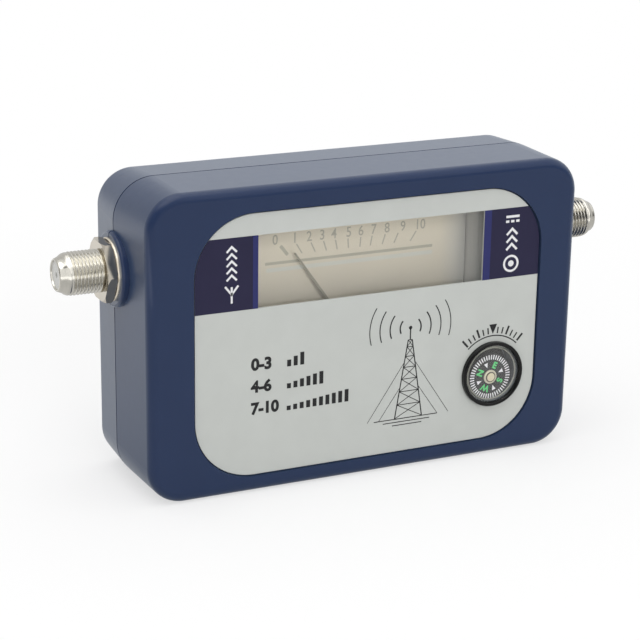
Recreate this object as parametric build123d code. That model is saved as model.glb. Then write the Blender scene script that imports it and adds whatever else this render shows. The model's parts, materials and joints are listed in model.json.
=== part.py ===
from build123d import *
import math
import os

# A hand-held signal strength finder: a moulded two-shell case with a moving-coil meter
# behind a window, a small compass in its face and a threaded coaxial socket in each end.
# All sizes are millimetres. X is to the right as seen from the front, Y goes into the
# object and Z is up. Pieces are drawn about the parting plane of the two shells, y = 0,
# with the bottom of the case at z = 0, and the whole is moved at the end, so that the
# origin is under the middle of the object's box.

overrun = 5.0
pan_rounding_share = 0.45
dome_share = 0.95

# Case
body_width = 105.4
body_height = 68.5
front_depth = 17.5
rear_depth = 13.1
front_side_inset = 1.25
front_end_inset = 0.1
rear_inset = 0.8
corner_radius = 9.2
front_corner_radius = 8.0
rear_corner_radius = 7.8
front_edge_radius = 2.0
rear_edge_radius = 0.9
inner_edge_radius = 0.8
wall = 2.2
front_wall = 2.5
parting_gap = 0.35
tongue_height = 1.5
tongue_width = 1.0
tongue_play = 0.1

# Case screws and their bosses
screw_inset = 8.7
screw_rise = 9.0
boss_radius = 3.2
screw_radius = 1.3
screw_hole_play = 0.3
screw_length = 17.0
screw_head_radius = 2.6
screw_head_height = 1.9
screw_pilot_depth = 10.0
recess_radius = 3.0
recess_depth = 3.4
recess_wall = 1.4
rib_width = 1.2
thread_play = 0.02
cross_width = 0.9
cross_length = 3.2
cross_depth = 0.9

# Face label and window
label_left_margin = 11.7
label_right_margin = 10.4
label_bottom_margin = 4.1
label_top_margin = 5.7
label_corner = 13.6
label_sink = 0.5
label_thickness = 0.5
label_play = 0.35
window_left_share = 0.2523
window_right_share = 0.2652
window_bottom_share = 0.6117
window_top_share = 0.8468
pane_margin = 1.8
pane_corner = 1.0
pane_play = 0.1

# Compass
compass_right_share = 0.297
compass_up_share = 0.2847
rim_radius = 7.65
rim_proud = 1.2
rim_rounding = 0.35
rim_neck_radius = 7.25
rim_play = 0.1
rim_length = 7.3
rim_lip_height = 0.6
rim_lip_width = 0.8
capsule_radius = 6.75
capsule_wall = 0.3
capsule_floor = 0.8
capsule_play = 0.05
capsule_length = 5.5
lens_thickness = 0.6
lens_depth = 0.6
lens_chamfer = 0.25
retainer_radius = 8.6
retainer_thickness = 0.8
card_radius = 5.35
card_thickness = 0.3
card_depth = 0.7
jewel_radius = 1.65
jewel_wall = 0.32
jewel_roof = 0.3
jewel_rise = 0.5
jewel_rounding = 0.5
card_magnet_radius = 3.0
card_magnet_thickness = 0.8
pin_radius = 0.3
pin_play = 0.03
pin_tip = 0.3
pin_top_play = 0.12
pin_foot_radius = 1.2
pin_foot_height = 0.5

# Coaxial sockets
socket_drop = 19.55
socket_reach = 13.2
thread_radius = 4.7
tip_length = 2.8
tip_shoulder_length = 1.9
tip_shoulder_radius = 4.45
tip_neck_length = 1.2
tip_neck_radius = 3.95
tip_face_radius = 3.45
thread_depth = 0.45
thread_relief = 0.3
socket_hole_play = 0.05
land_radius = 8.3
land_height = 1.0
land_rounding = 0.6
pad_radius = 7.0
pad_height = 0.8
washer_radius = 6.9
washer_thickness = 0.5
nut_across_flats = 12.7
nut_thickness = 2.1
nut_chamfer_height = 0.5
nut_chamfer_width = 0.7
nut_back_chamfer = 0.45
socket_flange_radius = 6.4
socket_flange_thickness = 1.5
socket_tail_radius = 4.0
socket_tail_length = 3.5
socket_bore_radius = 3.1
insulator_sink = 0.4
insulator_floor = 1.2
contact_radius = 1.3
contact_bore_radius = 0.65
contact_sink = 1.5
contact_bore_depth = 12.0
contact_tail_radius = 0.5
contact_tail_length = 3.0
lug_radius = 6.2
lug_thickness = 0.4
lug_tab_width = 2.4
lug_tab_drop = 4.0
signal_wire_radius = 0.4
signal_wire_bend = 2.0
signal_wire_run = 5.0

# Meter case and dial
case_beside_window = 1.95
case_above_window = 2.2
case_below_window = 7.2
well_bottom_play = 2.7
case_wall = 1.2
case_back_thickness = 1.0
case_depth = 20.7
case_corner = 1.5
ear_length = 7.3
ear_height = 7.0
ear_thickness = 1.5
ear_drop = 10.5
meter_boss_radius = 2.6
meter_boss_length = 7.5
meter_screw_radius = 1.1
meter_screw_length = 6.0
meter_screw_head_radius = 2.1
meter_screw_head_height = 1.2
dial_depth = 10.0
dial_thickness = 0.5
dial_play = 0.2
dial_tongue_margin = 2.0
dial_post_radius = 2.0
dial_screw_inset = 2.5
dial_screw_rise = 4.6
dial_screw_radius = 0.8
dial_screw_length = 5.0
dial_screw_head_radius = 1.6
dial_screw_head_height = 0.8

# Meter movement
pivot_right_share = 0.0064
pivot_up_share = 0.4269
rest_angle = -35.1
lowest_angle = -40.0
highest_angle = 37.0
needle_gap = 0.85
needle_thickness = 0.3
needle_tip_margin = 2.75
needle_root_width = 0.9
needle_tip_width = 0.35
hub_radius = 1.6
hub_thickness = 0.6
tail_length = 5.8
tail_width = 0.8
weight_radius = 0.85
weight_arm = 5.0
aluminium_density = 2.70
brass_density = 8.50
stop_radius = 0.35
stop_distance = 9.0
stop_height = 1.9
stop_gap = 0.1
core_radius = 4.3
coil_to_dial_gap = 0.8
core_rear_gap = 3.0
yoke_radius = 8.5
yoke_bore_radius = 6.4
yoke_overhang = 0.2
coil_outer_radius = 5.9
coil_band = 0.9
coil_width = 2.4
coil_front_play = 0.9
coil_rear_play = 0.9
coil_corner = 0.6
strap_width = 3.0
strap_thickness = 0.4
seat_wall = 1.6
seat_play = 0.1
staff_radius = 0.5
staff_play = 0.08
staff_end_play = 0.1
staff_entry = 0.5
jewel_screw_radius = 1.5
jewel_screw_length = 1.7
jewel_screw_slot_width = 0.5
jewel_screw_slot_depth = 0.4
bridge_gap = 1.35
bridge_thickness = 1.0
bridge_height = 6.0
bridge_length = 28.0
bridge_play = 0.9
column_spacing = 24.0
column_radius = 1.5
spring_inner_radius = 0.95
spring_pitch = 0.7
spring_half_turns = 7
spring_strip = 0.12
spring_height = 0.4
spring_front_offset = 0.5
spring_rear_offset = 0.35
collet_radius = 0.82
stud_radius = 0.35

# Circuit board and what is on it
board_side_margin = 14.2
board_end_margin = 6.0
board_thickness = 1.6
board_gap = 0.6
board_corner = 1.0
board_screw_inset = 4.5
board_screw_rise = 4.0
board_post_radius = 2.5
board_screw_radius = 0.9
board_screw_length = 3.6
board_screw_head_radius = 1.7
board_screw_head_height = 1.0
terminal_radius = 0.5
terminal_spacing = 22.0
terminal_drop = 8.9
led_radius = 1.5
led_length = 5.0
led_flange_radius = 1.9
led_flange_height = 0.8
led_lift = 1.6
led_hole_play = 0.3
led_lead_width = 0.5
led_lead_spacing = 2.54
led_spacing = 34.0
led_drop = 11.5
can_radius = 2.5
can_length = 9.0
can_rounding = 0.4
can_groove = 0.3
can_groove_rise = 1.2
can_shares = ((-0.87, 0.27), (-0.87, 0.41), (0.88, 0.46))
bobbin_radius = 2.4
bobbin_core_radius = 1.2
bobbin_length = 4.6
bobbin_flange = 0.8
winding_radius = 2.0
bobbin_shares = ((-0.935, 0.57), (0.935, 0.615))
chip_width = 6.4
chip_length = 9.6
chip_height = 3.3
chip_lift = 0.5
chip_notch_radius = 0.8
chip_leg_width = 0.5
chip_leg_thickness = 0.3
chip_leg_pitch = 2.54
chip_legs_a_side = 4
chip_shares = ((-0.65, 0.38),)
transistor_radius = 2.3
transistor_flat = 1.3
transistor_height = 4.6
transistor_lift = 2.0
lead_radius = 0.25
lead_pitch = 1.27
transistor_shares = ((-0.68, 0.15), (0.68, 0.44))
disc_radius = 2.2
disc_thickness = 1.6
disc_rounding = 0.5
disc_lift = 1.2
disc_shares = ((-0.87, 0.86), (-0.79, 0.08), (-0.49, 0.07), (0.62, 0.10), (0.92, 0.34))
axial_radius = 0.9
axial_length = 3.6
axial_lift = 0.3
axial_end_rounding = 0.3
axial_lead_span = 6.2
resistor_shares = (
    (-0.31, 0.09),
    (-0.22, 0.09),
    (-0.13, 0.09),
    (0.21, 0.09),
    (0.30, 0.09),
    (0.39, 0.09),
)
diode_radius = 0.85
diode_length = 3.4
diode_shares = ((-0.04, 0.09), (0.05, 0.09), (0.75, 0.06))
trimmer_side = 6.6
trimmer_height = 4.0
trimmer_lift = 0.3
rotor_radius = 2.3
rotor_height = 0.6
rotor_slot_width = 0.7
trimmer_shares = ((0.70, 0.28),)

# Places that follow from the sizes above
front_face = -front_depth
inner_face = front_face + front_wall
rear_inner_face = rear_depth - wall
label_surface = front_face + label_sink
label_back = label_surface + label_thickness
rim_front = label_surface - rim_proud
label_left = label_left_margin - body_width / 2
label_right = body_width / 2 - label_right_margin
label_bottom = label_bottom_margin
label_top = body_height - label_top_margin
window_left = -body_width * window_left_share
window_right = body_width * window_right_share
window_bottom = body_height * window_bottom_share
window_top = body_height * window_top_share
compass_x = body_width * compass_right_share
compass_z = body_height * compass_up_share
pivot_x = body_width * pivot_right_share
pivot_z = body_height * pivot_up_share
case_left = window_left - case_beside_window
case_right = window_right + case_beside_window
case_bottom = window_bottom - case_below_window
case_top = window_top + case_above_window
well_half_width = bridge_length / 2 + bridge_play + case_wall
well_bottom = pivot_z - yoke_radius - well_bottom_play - case_wall
dial_tongue_half_width = well_half_width - case_wall - dial_play
dial_screw_spacing = 2 * (dial_tongue_half_width - dial_screw_inset)
ear_z = case_top - ear_drop
led_z = case_top - led_drop
terminal_z = pivot_z - terminal_drop
needle_length = window_top - pivot_z - needle_tip_margin
case_back = inner_face + case_depth
case_floor = case_back - case_back_thickness
dial_front = label_surface + dial_depth
dial_back = dial_front + dial_thickness
needle_front = dial_front - needle_gap - needle_thickness
core_back = case_floor - core_rear_gap
coil_front = dial_back + coil_to_dial_gap
core_front = coil_front + coil_band + coil_front_play
coil_back = core_back + coil_rear_play + coil_band
yoke_front = core_front - yoke_overhang
bridge_back = needle_front - bridge_gap
bridge_front = bridge_back - bridge_thickness
board_front = case_back + board_gap
board_back = board_front + board_thickness
board_half_width = body_width / 2 - board_side_margin
board_bottom = board_end_margin
board_top = body_height - board_end_margin
socket_z = body_height - socket_drop
socket_x = body_width / 2
socket_end = socket_x + socket_reach
land_face = socket_x + land_height
pad_face = socket_x - wall - pad_height
nut_back = land_face + washer_thickness
nut_face = nut_back + nut_thickness
thread_root_radius = thread_radius - thread_depth
lens_front = rim_front + lens_depth
lens_back = lens_front + lens_thickness
card_front = lens_back + card_depth
card_back = card_front + card_thickness
capsule_back = lens_back + capsule_length
rim_back = rim_front + rim_length
jewel_bore_radius = jewel_radius - jewel_wall
card_drop = jewel_bore_radius - pin_radius - pin_play
card_z = compass_z - card_drop
screw_x = body_width / 2 - screw_inset
screw_places = [
    (side * screw_x, height)
    for side in (-1, 1)
    for height in (screw_rise, body_height - screw_rise)
]
board_screw_places = [
    (side * (board_half_width - board_screw_inset), height)
    for side in (-1, 1)
    for height in (board_bottom + board_screw_rise, board_top - board_screw_rise)
]
parting_y = -(rim_front + rear_depth) / 2


def upright(depth):
    """The plane at a depth, seen from the front: its x is X, its y is Z and it faces -Y."""
    return Plane(origin=(0, depth, 0), x_dir=(1, 0, 0), z_dir=(0, -1, 0))


def slab(outline, front, back):
    """An outline seen from the front, made solid between two depths."""
    return extrude(upright(back) * outline, back - front)


def rod(x, z, radius, front, back):
    """A round bar along Y between two depths."""
    return slab(Pos(x, z) * Circle(radius), front, back)


def block(left, right, bottom, top, radius=0.0):
    """A rectangle given by its edges, with rounded corners if a radius is given."""
    width = right - left
    height = top - bottom
    shape = RectangleRounded(width, height, radius) if radius else Rectangle(width, height)
    return Pos((left + right) / 2, (bottom + top) / 2) * shape


def body_outline(side_inset, end_inset, radius):
    """The case's outline drawn in at its two sides and at its top and bottom."""
    half = body_width / 2 - side_inset
    return block(-half, half, end_inset, body_height - end_inset, radius)


def drafted(near, near_inset, near_radius, far, far_insets, far_radius):
    """A case-shaped solid that narrows from one depth to another, as its mould draws."""
    sections = [
        upright(near) * body_outline(near_inset, near_inset, near_radius),
        upright(far) * body_outline(*far_insets, far_radius),
    ]
    return loft(sections, ruled=True)


def across(x):
    """The plane at a place along X that faces +X: its x is Y and its y is Z."""
    return Plane(origin=(x, 0, socket_z), x_dir=(0, 1, 0), z_dir=(1, 0, 0))


def bar_x(radius, start, end):
    """A round bar along the sockets' axis, on the right side."""
    return extrude(across(start) * Circle(radius), end - start)


def both_sides(piece):
    """The piece of the right side and its mirror image on the left."""
    return mirror(piece, about=Plane.YZ), piece


def turned(points, x, z):
    """A solid of revolution about an axis along Y, from (radius, depth) points."""
    plane = Plane(origin=(x, 0, z), x_dir=(1, 0, 0), z_dir=(0, 0, 1))
    profile = make_face(Polyline(*points, close=True))
    return revolve(plane * profile, axis=Axis((x, 0, z), (0, 1, 0)))


def screw_solid(x, z, head_face, radius, length, head_radius, head_height, points_forward=True):
    """A cross-slotted pan-head screw along Y, with its head's seat at a depth."""
    way = -1 if points_forward else 1
    shank = rod(x, z, radius, *sorted((head_face, head_face + way * length)))
    top = head_face - way * head_height
    head = rod(x, z, head_radius, *sorted((head_face, top)))
    rim = head.edges().sort_by(Axis.Y)[-1 if points_forward else 0]
    head = fillet(rim, head_height * pan_rounding_share)
    depths = sorted((top, top + way * cross_depth * head_height / screw_head_height))
    scale = head_radius / screw_head_radius
    for long_way in (cross_length * scale, cross_width * scale):
        short_way = (cross_length + cross_width) * scale - long_way
        head -= slab(Pos(x, z) * Rectangle(long_way, short_way), *depths)
    return shank + head


def shell_bosses(front, back, radius):
    """The four corner bosses of a shell with a rib to each wall beside them."""
    solid = Part()
    for x, z in screw_places:
        side = math.copysign(1, x)
        up = math.copysign(1, z - body_height / 2)
        solid += rod(x, z, radius, front, back)
        reach = screw_inset - wall
        rise = screw_rise - wall
        sideways = Pos(x + side * reach / 2, z) * Rectangle(reach, rib_width)
        upwards = Pos(x, z + up * rise / 2) * Rectangle(rib_width, rise)
        solid += slab(sideways, front + tongue_height, back - tongue_height)
        solid += slab(upwards, front + tongue_height, back - tongue_height)
    return solid


def socket_lands():
    """The raised round lands outside each end wall and the flat pads inside it."""
    land = bar_x(land_radius, pad_face, land_face)
    rim = land.edges().sort_by(Axis.X)[-1]
    land = fillet(rim, land_rounding)
    inside = bar_x(land_radius, pad_face, socket_x - wall)
    land -= inside - bar_x(pad_radius, pad_face, socket_x - wall)
    left, right = both_sides(land)
    return left + right


def socket_holes():
    """The round hole through each end wall, half of it in each shell."""
    hole = bar_x(thread_radius + socket_hole_play, pad_face - overrun, land_face + overrun)
    left, right = both_sides(hole)
    return left + right


def half_space(front, back):
    """A block wider than the case between two depths, to split what straddles the joint."""
    half = socket_end + overrun
    return slab(block(-half, half, -overrun, body_height + overrun), front, back)


def front_shell():
    """The deep front moulding with the label's recess, the window and the compass hole."""
    insets = (front_side_inset, front_end_inset)
    outer = drafted(0, 0, corner_radius, front_face, insets, front_corner_radius)
    outer = fillet(outer.edges().group_by(Axis.Y)[0], front_edge_radius)
    inner_insets = [wall + inset * (front_depth - front_wall) / front_depth for inset in insets]
    cavity = drafted(0, wall, corner_radius - wall, inner_face, inner_insets, front_corner_radius - wall)
    cavity = fillet(cavity.edges().group_by(Axis.Y)[0], inner_edge_radius)
    shell = outer - cavity
    groove = wall - tongue_width
    shell -= slab(body_outline(groove, groove, corner_radius - groove), -tongue_height, 0)
    bosses = shell_bosses(inner_face - front_wall / 2, 0, boss_radius) & outer
    shell += bosses
    for x in meter_screw_places():
        shell += rod(x, ear_z, meter_boss_radius, inner_face - front_wall / 2, inner_face + meter_boss_length)
    shell += socket_lands() & half_space(front_face, 0)
    shell -= socket_holes()
    recess = block(
        label_left - label_play,
        label_right + label_play,
        label_bottom - label_play,
        label_top + label_play,
        label_corner + label_play,
    )
    shell -= slab(recess, front_face - overrun, label_back)
    window = block(
        window_left - pane_margin,
        window_right + pane_margin,
        window_bottom - pane_margin,
        window_top + pane_margin,
        pane_corner,
    )
    shell -= slab(window, label_back - overrun, inner_face)
    shell -= rod(compass_x, compass_z, rim_neck_radius + rim_play, front_face, inner_face)
    for x, z in screw_places:
        shell -= rod(x, z, screw_radius + thread_play, -screw_pilot_depth, 0)
    for x in meter_screw_places():
        shell -= rod(
            x,
            ear_z,
            meter_screw_radius + thread_play,
            inner_face + meter_boss_length - meter_screw_length,
            inner_face + meter_boss_length,
        )
    return shell


def rear_shell():
    """The shallow rear moulding with its tongue, screw recesses and board posts."""
    outer = drafted(
        parting_gap, 0, corner_radius, rear_depth, (rear_inset, rear_inset), rear_corner_radius
    )
    outer = fillet(outer.edges().group_by(Axis.Y)[-1], rear_edge_radius)
    inner_inset = wall + rear_inset * (rear_depth - wall) / rear_depth
    cavity = drafted(
        parting_gap,
        wall,
        corner_radius - wall,
        rear_inner_face,
        (inner_inset, inner_inset),
        rear_corner_radius - wall,
    )
    shell = outer - fillet(cavity.edges().group_by(Axis.Y)[-1], inner_edge_radius)
    step = wall - tongue_width + tongue_play
    tongue = body_outline(step, step, corner_radius - step)
    tongue -= body_outline(wall, wall, corner_radius - wall)
    tongue_solid = slab(tongue, tongue_play - tongue_height, parting_gap)
    clear = bar_x(land_radius + tongue_play, 0, land_face)
    left, right = both_sides(clear)
    shell += tongue_solid - left - right
    shell += shell_bosses(0, rear_depth - wall / 2, recess_radius + recess_wall) & outer_rear_bound()
    for x, z in board_screw_places:
        shell += rod(x, z, board_post_radius, board_back, rear_inner_face + wall / 2)
    shell += socket_lands() & half_space(parting_gap, rear_depth)
    shell -= socket_holes()
    for x, z in screw_places:
        shell -= rod(x, z, screw_radius + screw_hole_play, -overrun, rear_depth)
        shell -= rod(x, z, recess_radius, rear_depth - recess_depth, rear_depth + overrun)
    for x, z in board_screw_places:
        shell -= rod(
            x, z, board_screw_radius + thread_play, board_back, board_front + board_screw_length
        )
    return shell


def outer_rear_bound():
    """The space that the rear shell's bosses may fill: inside its outside, from the joint back."""
    return drafted(0, 0, corner_radius, rear_depth, (rear_inset, rear_inset), rear_corner_radius)


def case_screws():
    """Four screws from the back, in their recesses."""
    seat = rear_depth - recess_depth
    return [
        screw_solid(x, z, seat, screw_radius, screw_length, screw_head_radius, screw_head_height)
        for x, z in screw_places
    ]


def face_label():
    """The printed sheet in the front recess, cut out for the window and the compass."""
    sheet = block(label_left, label_right, label_bottom, label_top, label_corner)
    sheet -= block(window_left, window_right, window_bottom, window_top)
    sheet -= Pos(compass_x, compass_z) * Circle(rim_neck_radius + rim_play)
    return slab(sheet, label_surface, label_back)


def window_pane():
    """The clear pane behind the label's opening, level with the inside of the front wall."""
    grow = pane_margin - pane_play
    outline = block(
        window_left - grow, window_right + grow, window_bottom - grow, window_top + grow, pane_corner
    )
    return slab(outline, label_back, inner_face)


def compass_rim():
    """The black bezel: a flange on the label and a neck through the front wall."""
    bore = capsule_radius + capsule_play
    lip = bore - rim_lip_width
    rim = turned(
        [
            (bore, rim_front),
            (rim_radius, rim_front),
            (rim_radius, label_surface),
            (rim_neck_radius, label_surface),
            (rim_neck_radius, rim_back),
            (lip, rim_back),
            (lip, rim_back - rim_lip_height),
            (bore, rim_back - rim_lip_height),
        ],
        compass_x,
        compass_z,
    )
    return fillet(rim.edges().group_by(Axis.Y)[0], rim_rounding)


def compass_retainer():
    """The ring that grips the bezel's neck behind the front wall."""
    ring = Circle(retainer_radius) - Circle(rim_neck_radius)
    return slab(Pos(compass_x, compass_z) * ring, inner_face, inner_face + retainer_thickness)


def compass_cup():
    """The capsule's thin cup, which holds the pivot pin on its floor."""
    inside = capsule_radius - capsule_wall
    return turned(
        [
            (0, capsule_back),
            (capsule_radius, capsule_back),
            (capsule_radius, lens_back),
            (inside, lens_back),
            (inside, capsule_back - capsule_floor),
            (0, capsule_back - capsule_floor),
        ],
        compass_x,
        compass_z,
    )


def compass_lens():
    """The clear round lens that closes the capsule."""
    lens = rod(compass_x, compass_z, capsule_radius, lens_front, lens_back)
    return chamfer(lens.edges().group_by(Axis.Y)[0], lens_chamfer)


def compass_pin():
    """The pivot pin, with a foot on the capsule's floor and a conical point."""
    floor = capsule_back - capsule_floor
    top = card_front - jewel_rise + jewel_roof + pin_top_play
    return turned(
        [
            (0, floor),
            (pin_foot_radius, floor),
            (pin_foot_radius, floor - pin_foot_height),
            (pin_radius, floor - pin_foot_height),
            (pin_radius, top + pin_tip),
            (0, top),
        ],
        compass_x,
        compass_z,
    )


def compass_card():
    """The printed card, hanging low on its pin because the finder stands upright."""
    disc = Circle(card_radius) - Circle(jewel_radius)
    return slab(Pos(compass_x, card_z) * disc, card_front, card_back)


def compass_magnet():
    """The ring magnet under the card."""
    ring = Circle(card_magnet_radius) - Circle(jewel_radius)
    return slab(Pos(compass_x, card_z) * ring, card_back, card_back + card_magnet_thickness)


def compass_jewel():
    """The brass cup at the card's centre that rides on the pin."""
    top = card_front - jewel_rise
    bottom = card_back + card_magnet_thickness
    cup = rod(compass_x, card_z, jewel_radius, top, bottom)
    cup = fillet(cup.edges().group_by(Axis.Y)[0], jewel_rounding)
    return cup - rod(compass_x, card_z, jewel_bore_radius, top + jewel_roof, bottom)


def barrel_tip():
    """The barrel's bare end, which steps down from the thread to its face."""
    outline = [
        (socket_end - tip_length, 0),
        (socket_end - tip_length, thread_radius),
        (socket_end - tip_shoulder_length, tip_shoulder_radius),
        (socket_end - tip_neck_length, tip_neck_radius),
        (socket_end, tip_face_radius),
        (socket_end, 0),
    ]
    plane = Plane(origin=(0, 0, socket_z), x_dir=(1, 0, 0), z_dir=(0, 0, 1))
    profile = make_face(Polyline(*outline, close=True))
    return revolve(plane * profile, axis=Axis((0, 0, socket_z), (1, 0, 0)))


def socket_barrel():
    """The threaded barrel's envelope with its inner flange, bored for the insulator.

    Inside the nut it is drawn at its thread's root, since the nut's thread fills the rest.
    """
    lug_face = pad_face - lug_thickness
    barrel = bar_x(thread_radius, lug_face, socket_end - tip_length) + barrel_tip()
    barrel -= bar_x(thread_radius + overrun, nut_back, nut_face + thread_relief)
    barrel += bar_x(thread_root_radius, nut_back, nut_face + thread_relief)
    flange_back = lug_face - socket_flange_thickness
    barrel += bar_x(socket_flange_radius, flange_back, lug_face)
    barrel += bar_x(socket_tail_radius, flange_back - socket_tail_length, flange_back)
    return barrel - bar_x(socket_bore_radius, tail_end(), socket_end)


def tail_end():
    """Where the barrel ends inside the case."""
    return pad_face - lug_thickness - socket_flange_thickness - socket_tail_length


def socket_insulator():
    """The plastic core of the socket, with the round hole for a plug's centre wire."""
    face = socket_end - insulator_sink
    core = bar_x(socket_bore_radius, tail_end(), face)
    core -= bar_x(contact_radius, tail_end() + insulator_floor, face - contact_sink)
    core -= bar_x(contact_bore_radius, face - contact_sink, face)
    return core - bar_x(contact_tail_radius, tail_end(), tail_end() + insulator_floor)


def socket_contact():
    """The tubular centre contact and its solder tail."""
    face = socket_end - insulator_sink - contact_sink
    contact = bar_x(contact_radius, tail_end() + insulator_floor, face)
    contact -= bar_x(contact_bore_radius, face - contact_bore_depth, face)
    contact += bar_x(contact_tail_radius, tail_end() - contact_tail_length, tail_end() + insulator_floor)
    return contact


def socket_washer():
    """The flat washer on the raised land."""
    washer = bar_x(washer_radius, land_face, nut_back)
    return washer - bar_x(thread_radius, land_face, nut_back)


def socket_nut():
    """The hexagonal nut, its corners chamfered at both ends, one corner towards the front."""
    hexagon = RegularPolygon(nut_across_flats / 2, 6, major_radius=False)
    prism = extrude(across(nut_back) * hexagon, nut_thickness)
    corner = nut_across_flats / math.sqrt(3)
    turning = bar_x(corner, nut_back, nut_face)
    turning = chamfer(turning.edges().group_by(Axis.X)[0], nut_back_chamfer)
    turning = chamfer(turning.edges().group_by(Axis.X)[-1], nut_chamfer_height, nut_chamfer_width)
    nut = prism & turning
    return nut - bar_x(thread_root_radius, nut_back, nut_face)


def ground_lug():
    """The tag under the barrel's flange, with its tab bent back onto the board."""
    start = pad_face - lug_thickness
    ring = bar_x(lug_radius, start, pad_face)
    reach = board_front
    low = -lug_tab_drop - lug_tab_width / 2
    high = low + lug_tab_width
    ring += extrude(across(start) * block(0, reach, low, high), lug_thickness)
    tab = extrude(
        across(board_half_width - lug_tab_width) * block(reach - lug_thickness, reach, low, high),
        pad_face - board_half_width + lug_tab_width,
    )
    return ring + tab - bar_x(thread_radius, start, pad_face)


def signal_wire():
    """The bare wire from the contact's tail back to the board."""
    start = tail_end() - contact_tail_length
    end = start - signal_wire_run
    plane = Plane(origin=(0, 0, socket_z))
    path = plane * FilletPolyline(
        (start, 0), (end, 0), (end, board_front), radius=signal_wire_bend
    )
    profile = Plane(origin=(start, 0, socket_z), x_dir=(0, 1, 0), z_dir=(-1, 0, 0))
    return sweep(profile * Circle(signal_wire_radius), path=path)


def meter_screw_places():
    """The two screws that hold the meter case, one outside each end of it."""
    offset = ear_length - ear_height / 2
    return case_left - offset, case_right + offset


def case_outline(inset):
    """The meter case's outline: a wide upper part and the well of the movement below."""
    upper = block(
        case_left + inset, case_right - inset, case_bottom + inset, case_top - inset, case_corner
    )
    half = well_half_width - inset
    lower = block(
        pivot_x - half, pivot_x + half, well_bottom + inset, case_bottom + 2 * case_corner, case_corner
    )
    return upper + lower


def meter_case():
    """The meter's tray, open to the window, with the seats of the dial and the movement."""
    tray = slab(case_outline(0), inner_face, case_back)
    tray -= slab(case_outline(case_wall), inner_face, case_floor)
    seat = Circle(yoke_radius) - Circle(yoke_radius - seat_wall)
    tray += slab(Pos(pivot_x, pivot_z) * seat, core_back, case_floor)
    strap = Pos(pivot_x, pivot_z) * Rectangle(strap_width + 2 * seat_play, 2 * yoke_radius)
    tray -= slab(strap, core_back, core_back + strap_thickness)
    for side in (-1, 1):
        post_x = pivot_x + side * dial_screw_spacing / 2
        post_z = pivot_z + dial_screw_rise
        tray += rod(post_x, post_z, dial_post_radius, dial_back, case_floor)
        tray -= rod(
            post_x, post_z, dial_screw_radius + thread_play, dial_back, dial_front + dial_screw_length
        )
    ear_front = inner_face + meter_boss_length
    for x in meter_screw_places():
        inner_end = case_left if x < 0 else case_right
        outer_end = inner_end + math.copysign(ear_length, x)
        ear = block(
            min(inner_end, outer_end),
            max(inner_end, outer_end),
            ear_z - ear_height / 2,
            ear_z + ear_height / 2,
        )
        tray += slab(ear, ear_front, ear_front + ear_thickness)
        tray -= rod(
            x, ear_z, meter_screw_radius + screw_hole_play, ear_front, ear_front + ear_thickness
        )
    for x, z in led_places():
        tray -= rod(x, z, led_flange_radius + led_hole_play, case_floor, case_back)
    for x in terminal_places():
        tray -= rod(x, terminal_z, terminal_radius, case_floor, case_back)
    for x in column_places():
        tray -= rod(x, pivot_z, column_radius / 2, case_floor, case_back)
    return tray - rod(pivot_x, pivot_z, jewel_screw_radius, case_floor, case_back)


def meter_screws():
    """The two screws through the meter case's ears into the front shell."""
    seat = inner_face + meter_boss_length + ear_thickness
    return [
        screw_solid(
            x,
            ear_z,
            seat,
            meter_screw_radius,
            meter_screw_length,
            meter_screw_head_radius,
            meter_screw_head_height,
        )
        for x in meter_screw_places()
    ]


def meter_dial():
    """The thin dial plate with the tongue that its two screws go through."""
    inset = case_wall + dial_play
    plate = block(
        case_left + inset, case_right - inset, case_bottom + inset, case_top - inset, case_corner
    )
    half = dial_tongue_half_width
    low = pivot_z + dial_screw_rise - dial_tongue_margin
    plate += block(pivot_x - half, pivot_x + half, low, case_bottom + 2 * inset)
    for side in (-1, 1):
        hole = Pos(pivot_x + side * dial_screw_spacing / 2, pivot_z + dial_screw_rise)
        plate -= hole * Circle(dial_screw_radius + thread_play)
    return slab(plate, dial_front, dial_back)


def dial_screws():
    """The two small screws at the foot of the dial."""
    return [
        screw_solid(
            pivot_x + side * dial_screw_spacing / 2,
            pivot_z + dial_screw_rise,
            dial_front,
            dial_screw_radius,
            dial_screw_length,
            dial_screw_head_radius,
            dial_screw_head_height,
            points_forward=False,
        )
        for side in (-1, 1)
    ]


def about_pivot(piece, angle=rest_angle):
    """Places a piece drawn about the movement's axis, turned clockwise by an angle."""
    return Pos(pivot_x, 0, pivot_z) * Rot(0, angle, 0) * piece


def core_magnet():
    """The round magnet inside the coil."""
    return rod(pivot_x, pivot_z, core_radius, core_front, core_back)


def core_strap():
    """The strap that carries the magnet across the back of the iron ring."""
    outline = Pos(pivot_x, pivot_z) * Rectangle(strap_width, 2 * yoke_radius)
    strap = slab(outline, core_back, core_back + strap_thickness)
    return strap & rod(pivot_x, pivot_z, yoke_radius, core_back, core_back + strap_thickness)


def meter_yoke():
    """The soft iron ring round the coil."""
    ring = Circle(yoke_radius) - Circle(yoke_bore_radius)
    return slab(Pos(pivot_x, pivot_z) * ring, yoke_front, core_back)


def meter_coil():
    """The wound coil on its frame, lying across the pointer's direction."""
    across_frame = Plane(origin=(0, 0, 0), x_dir=(1, 0, 0), z_dir=(0, 0, 1))
    middle = (coil_front + coil_back) / 2
    long_way = coil_back - coil_front
    outside = RectangleRounded(2 * coil_outer_radius, long_way, coil_corner)
    inside = Rectangle(2 * (coil_outer_radius - coil_band), long_way - 2 * coil_band)
    frame = across_frame * (Pos(0, middle) * (outside - inside))
    return about_pivot(extrude(frame, coil_width / 2, both=True))


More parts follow.
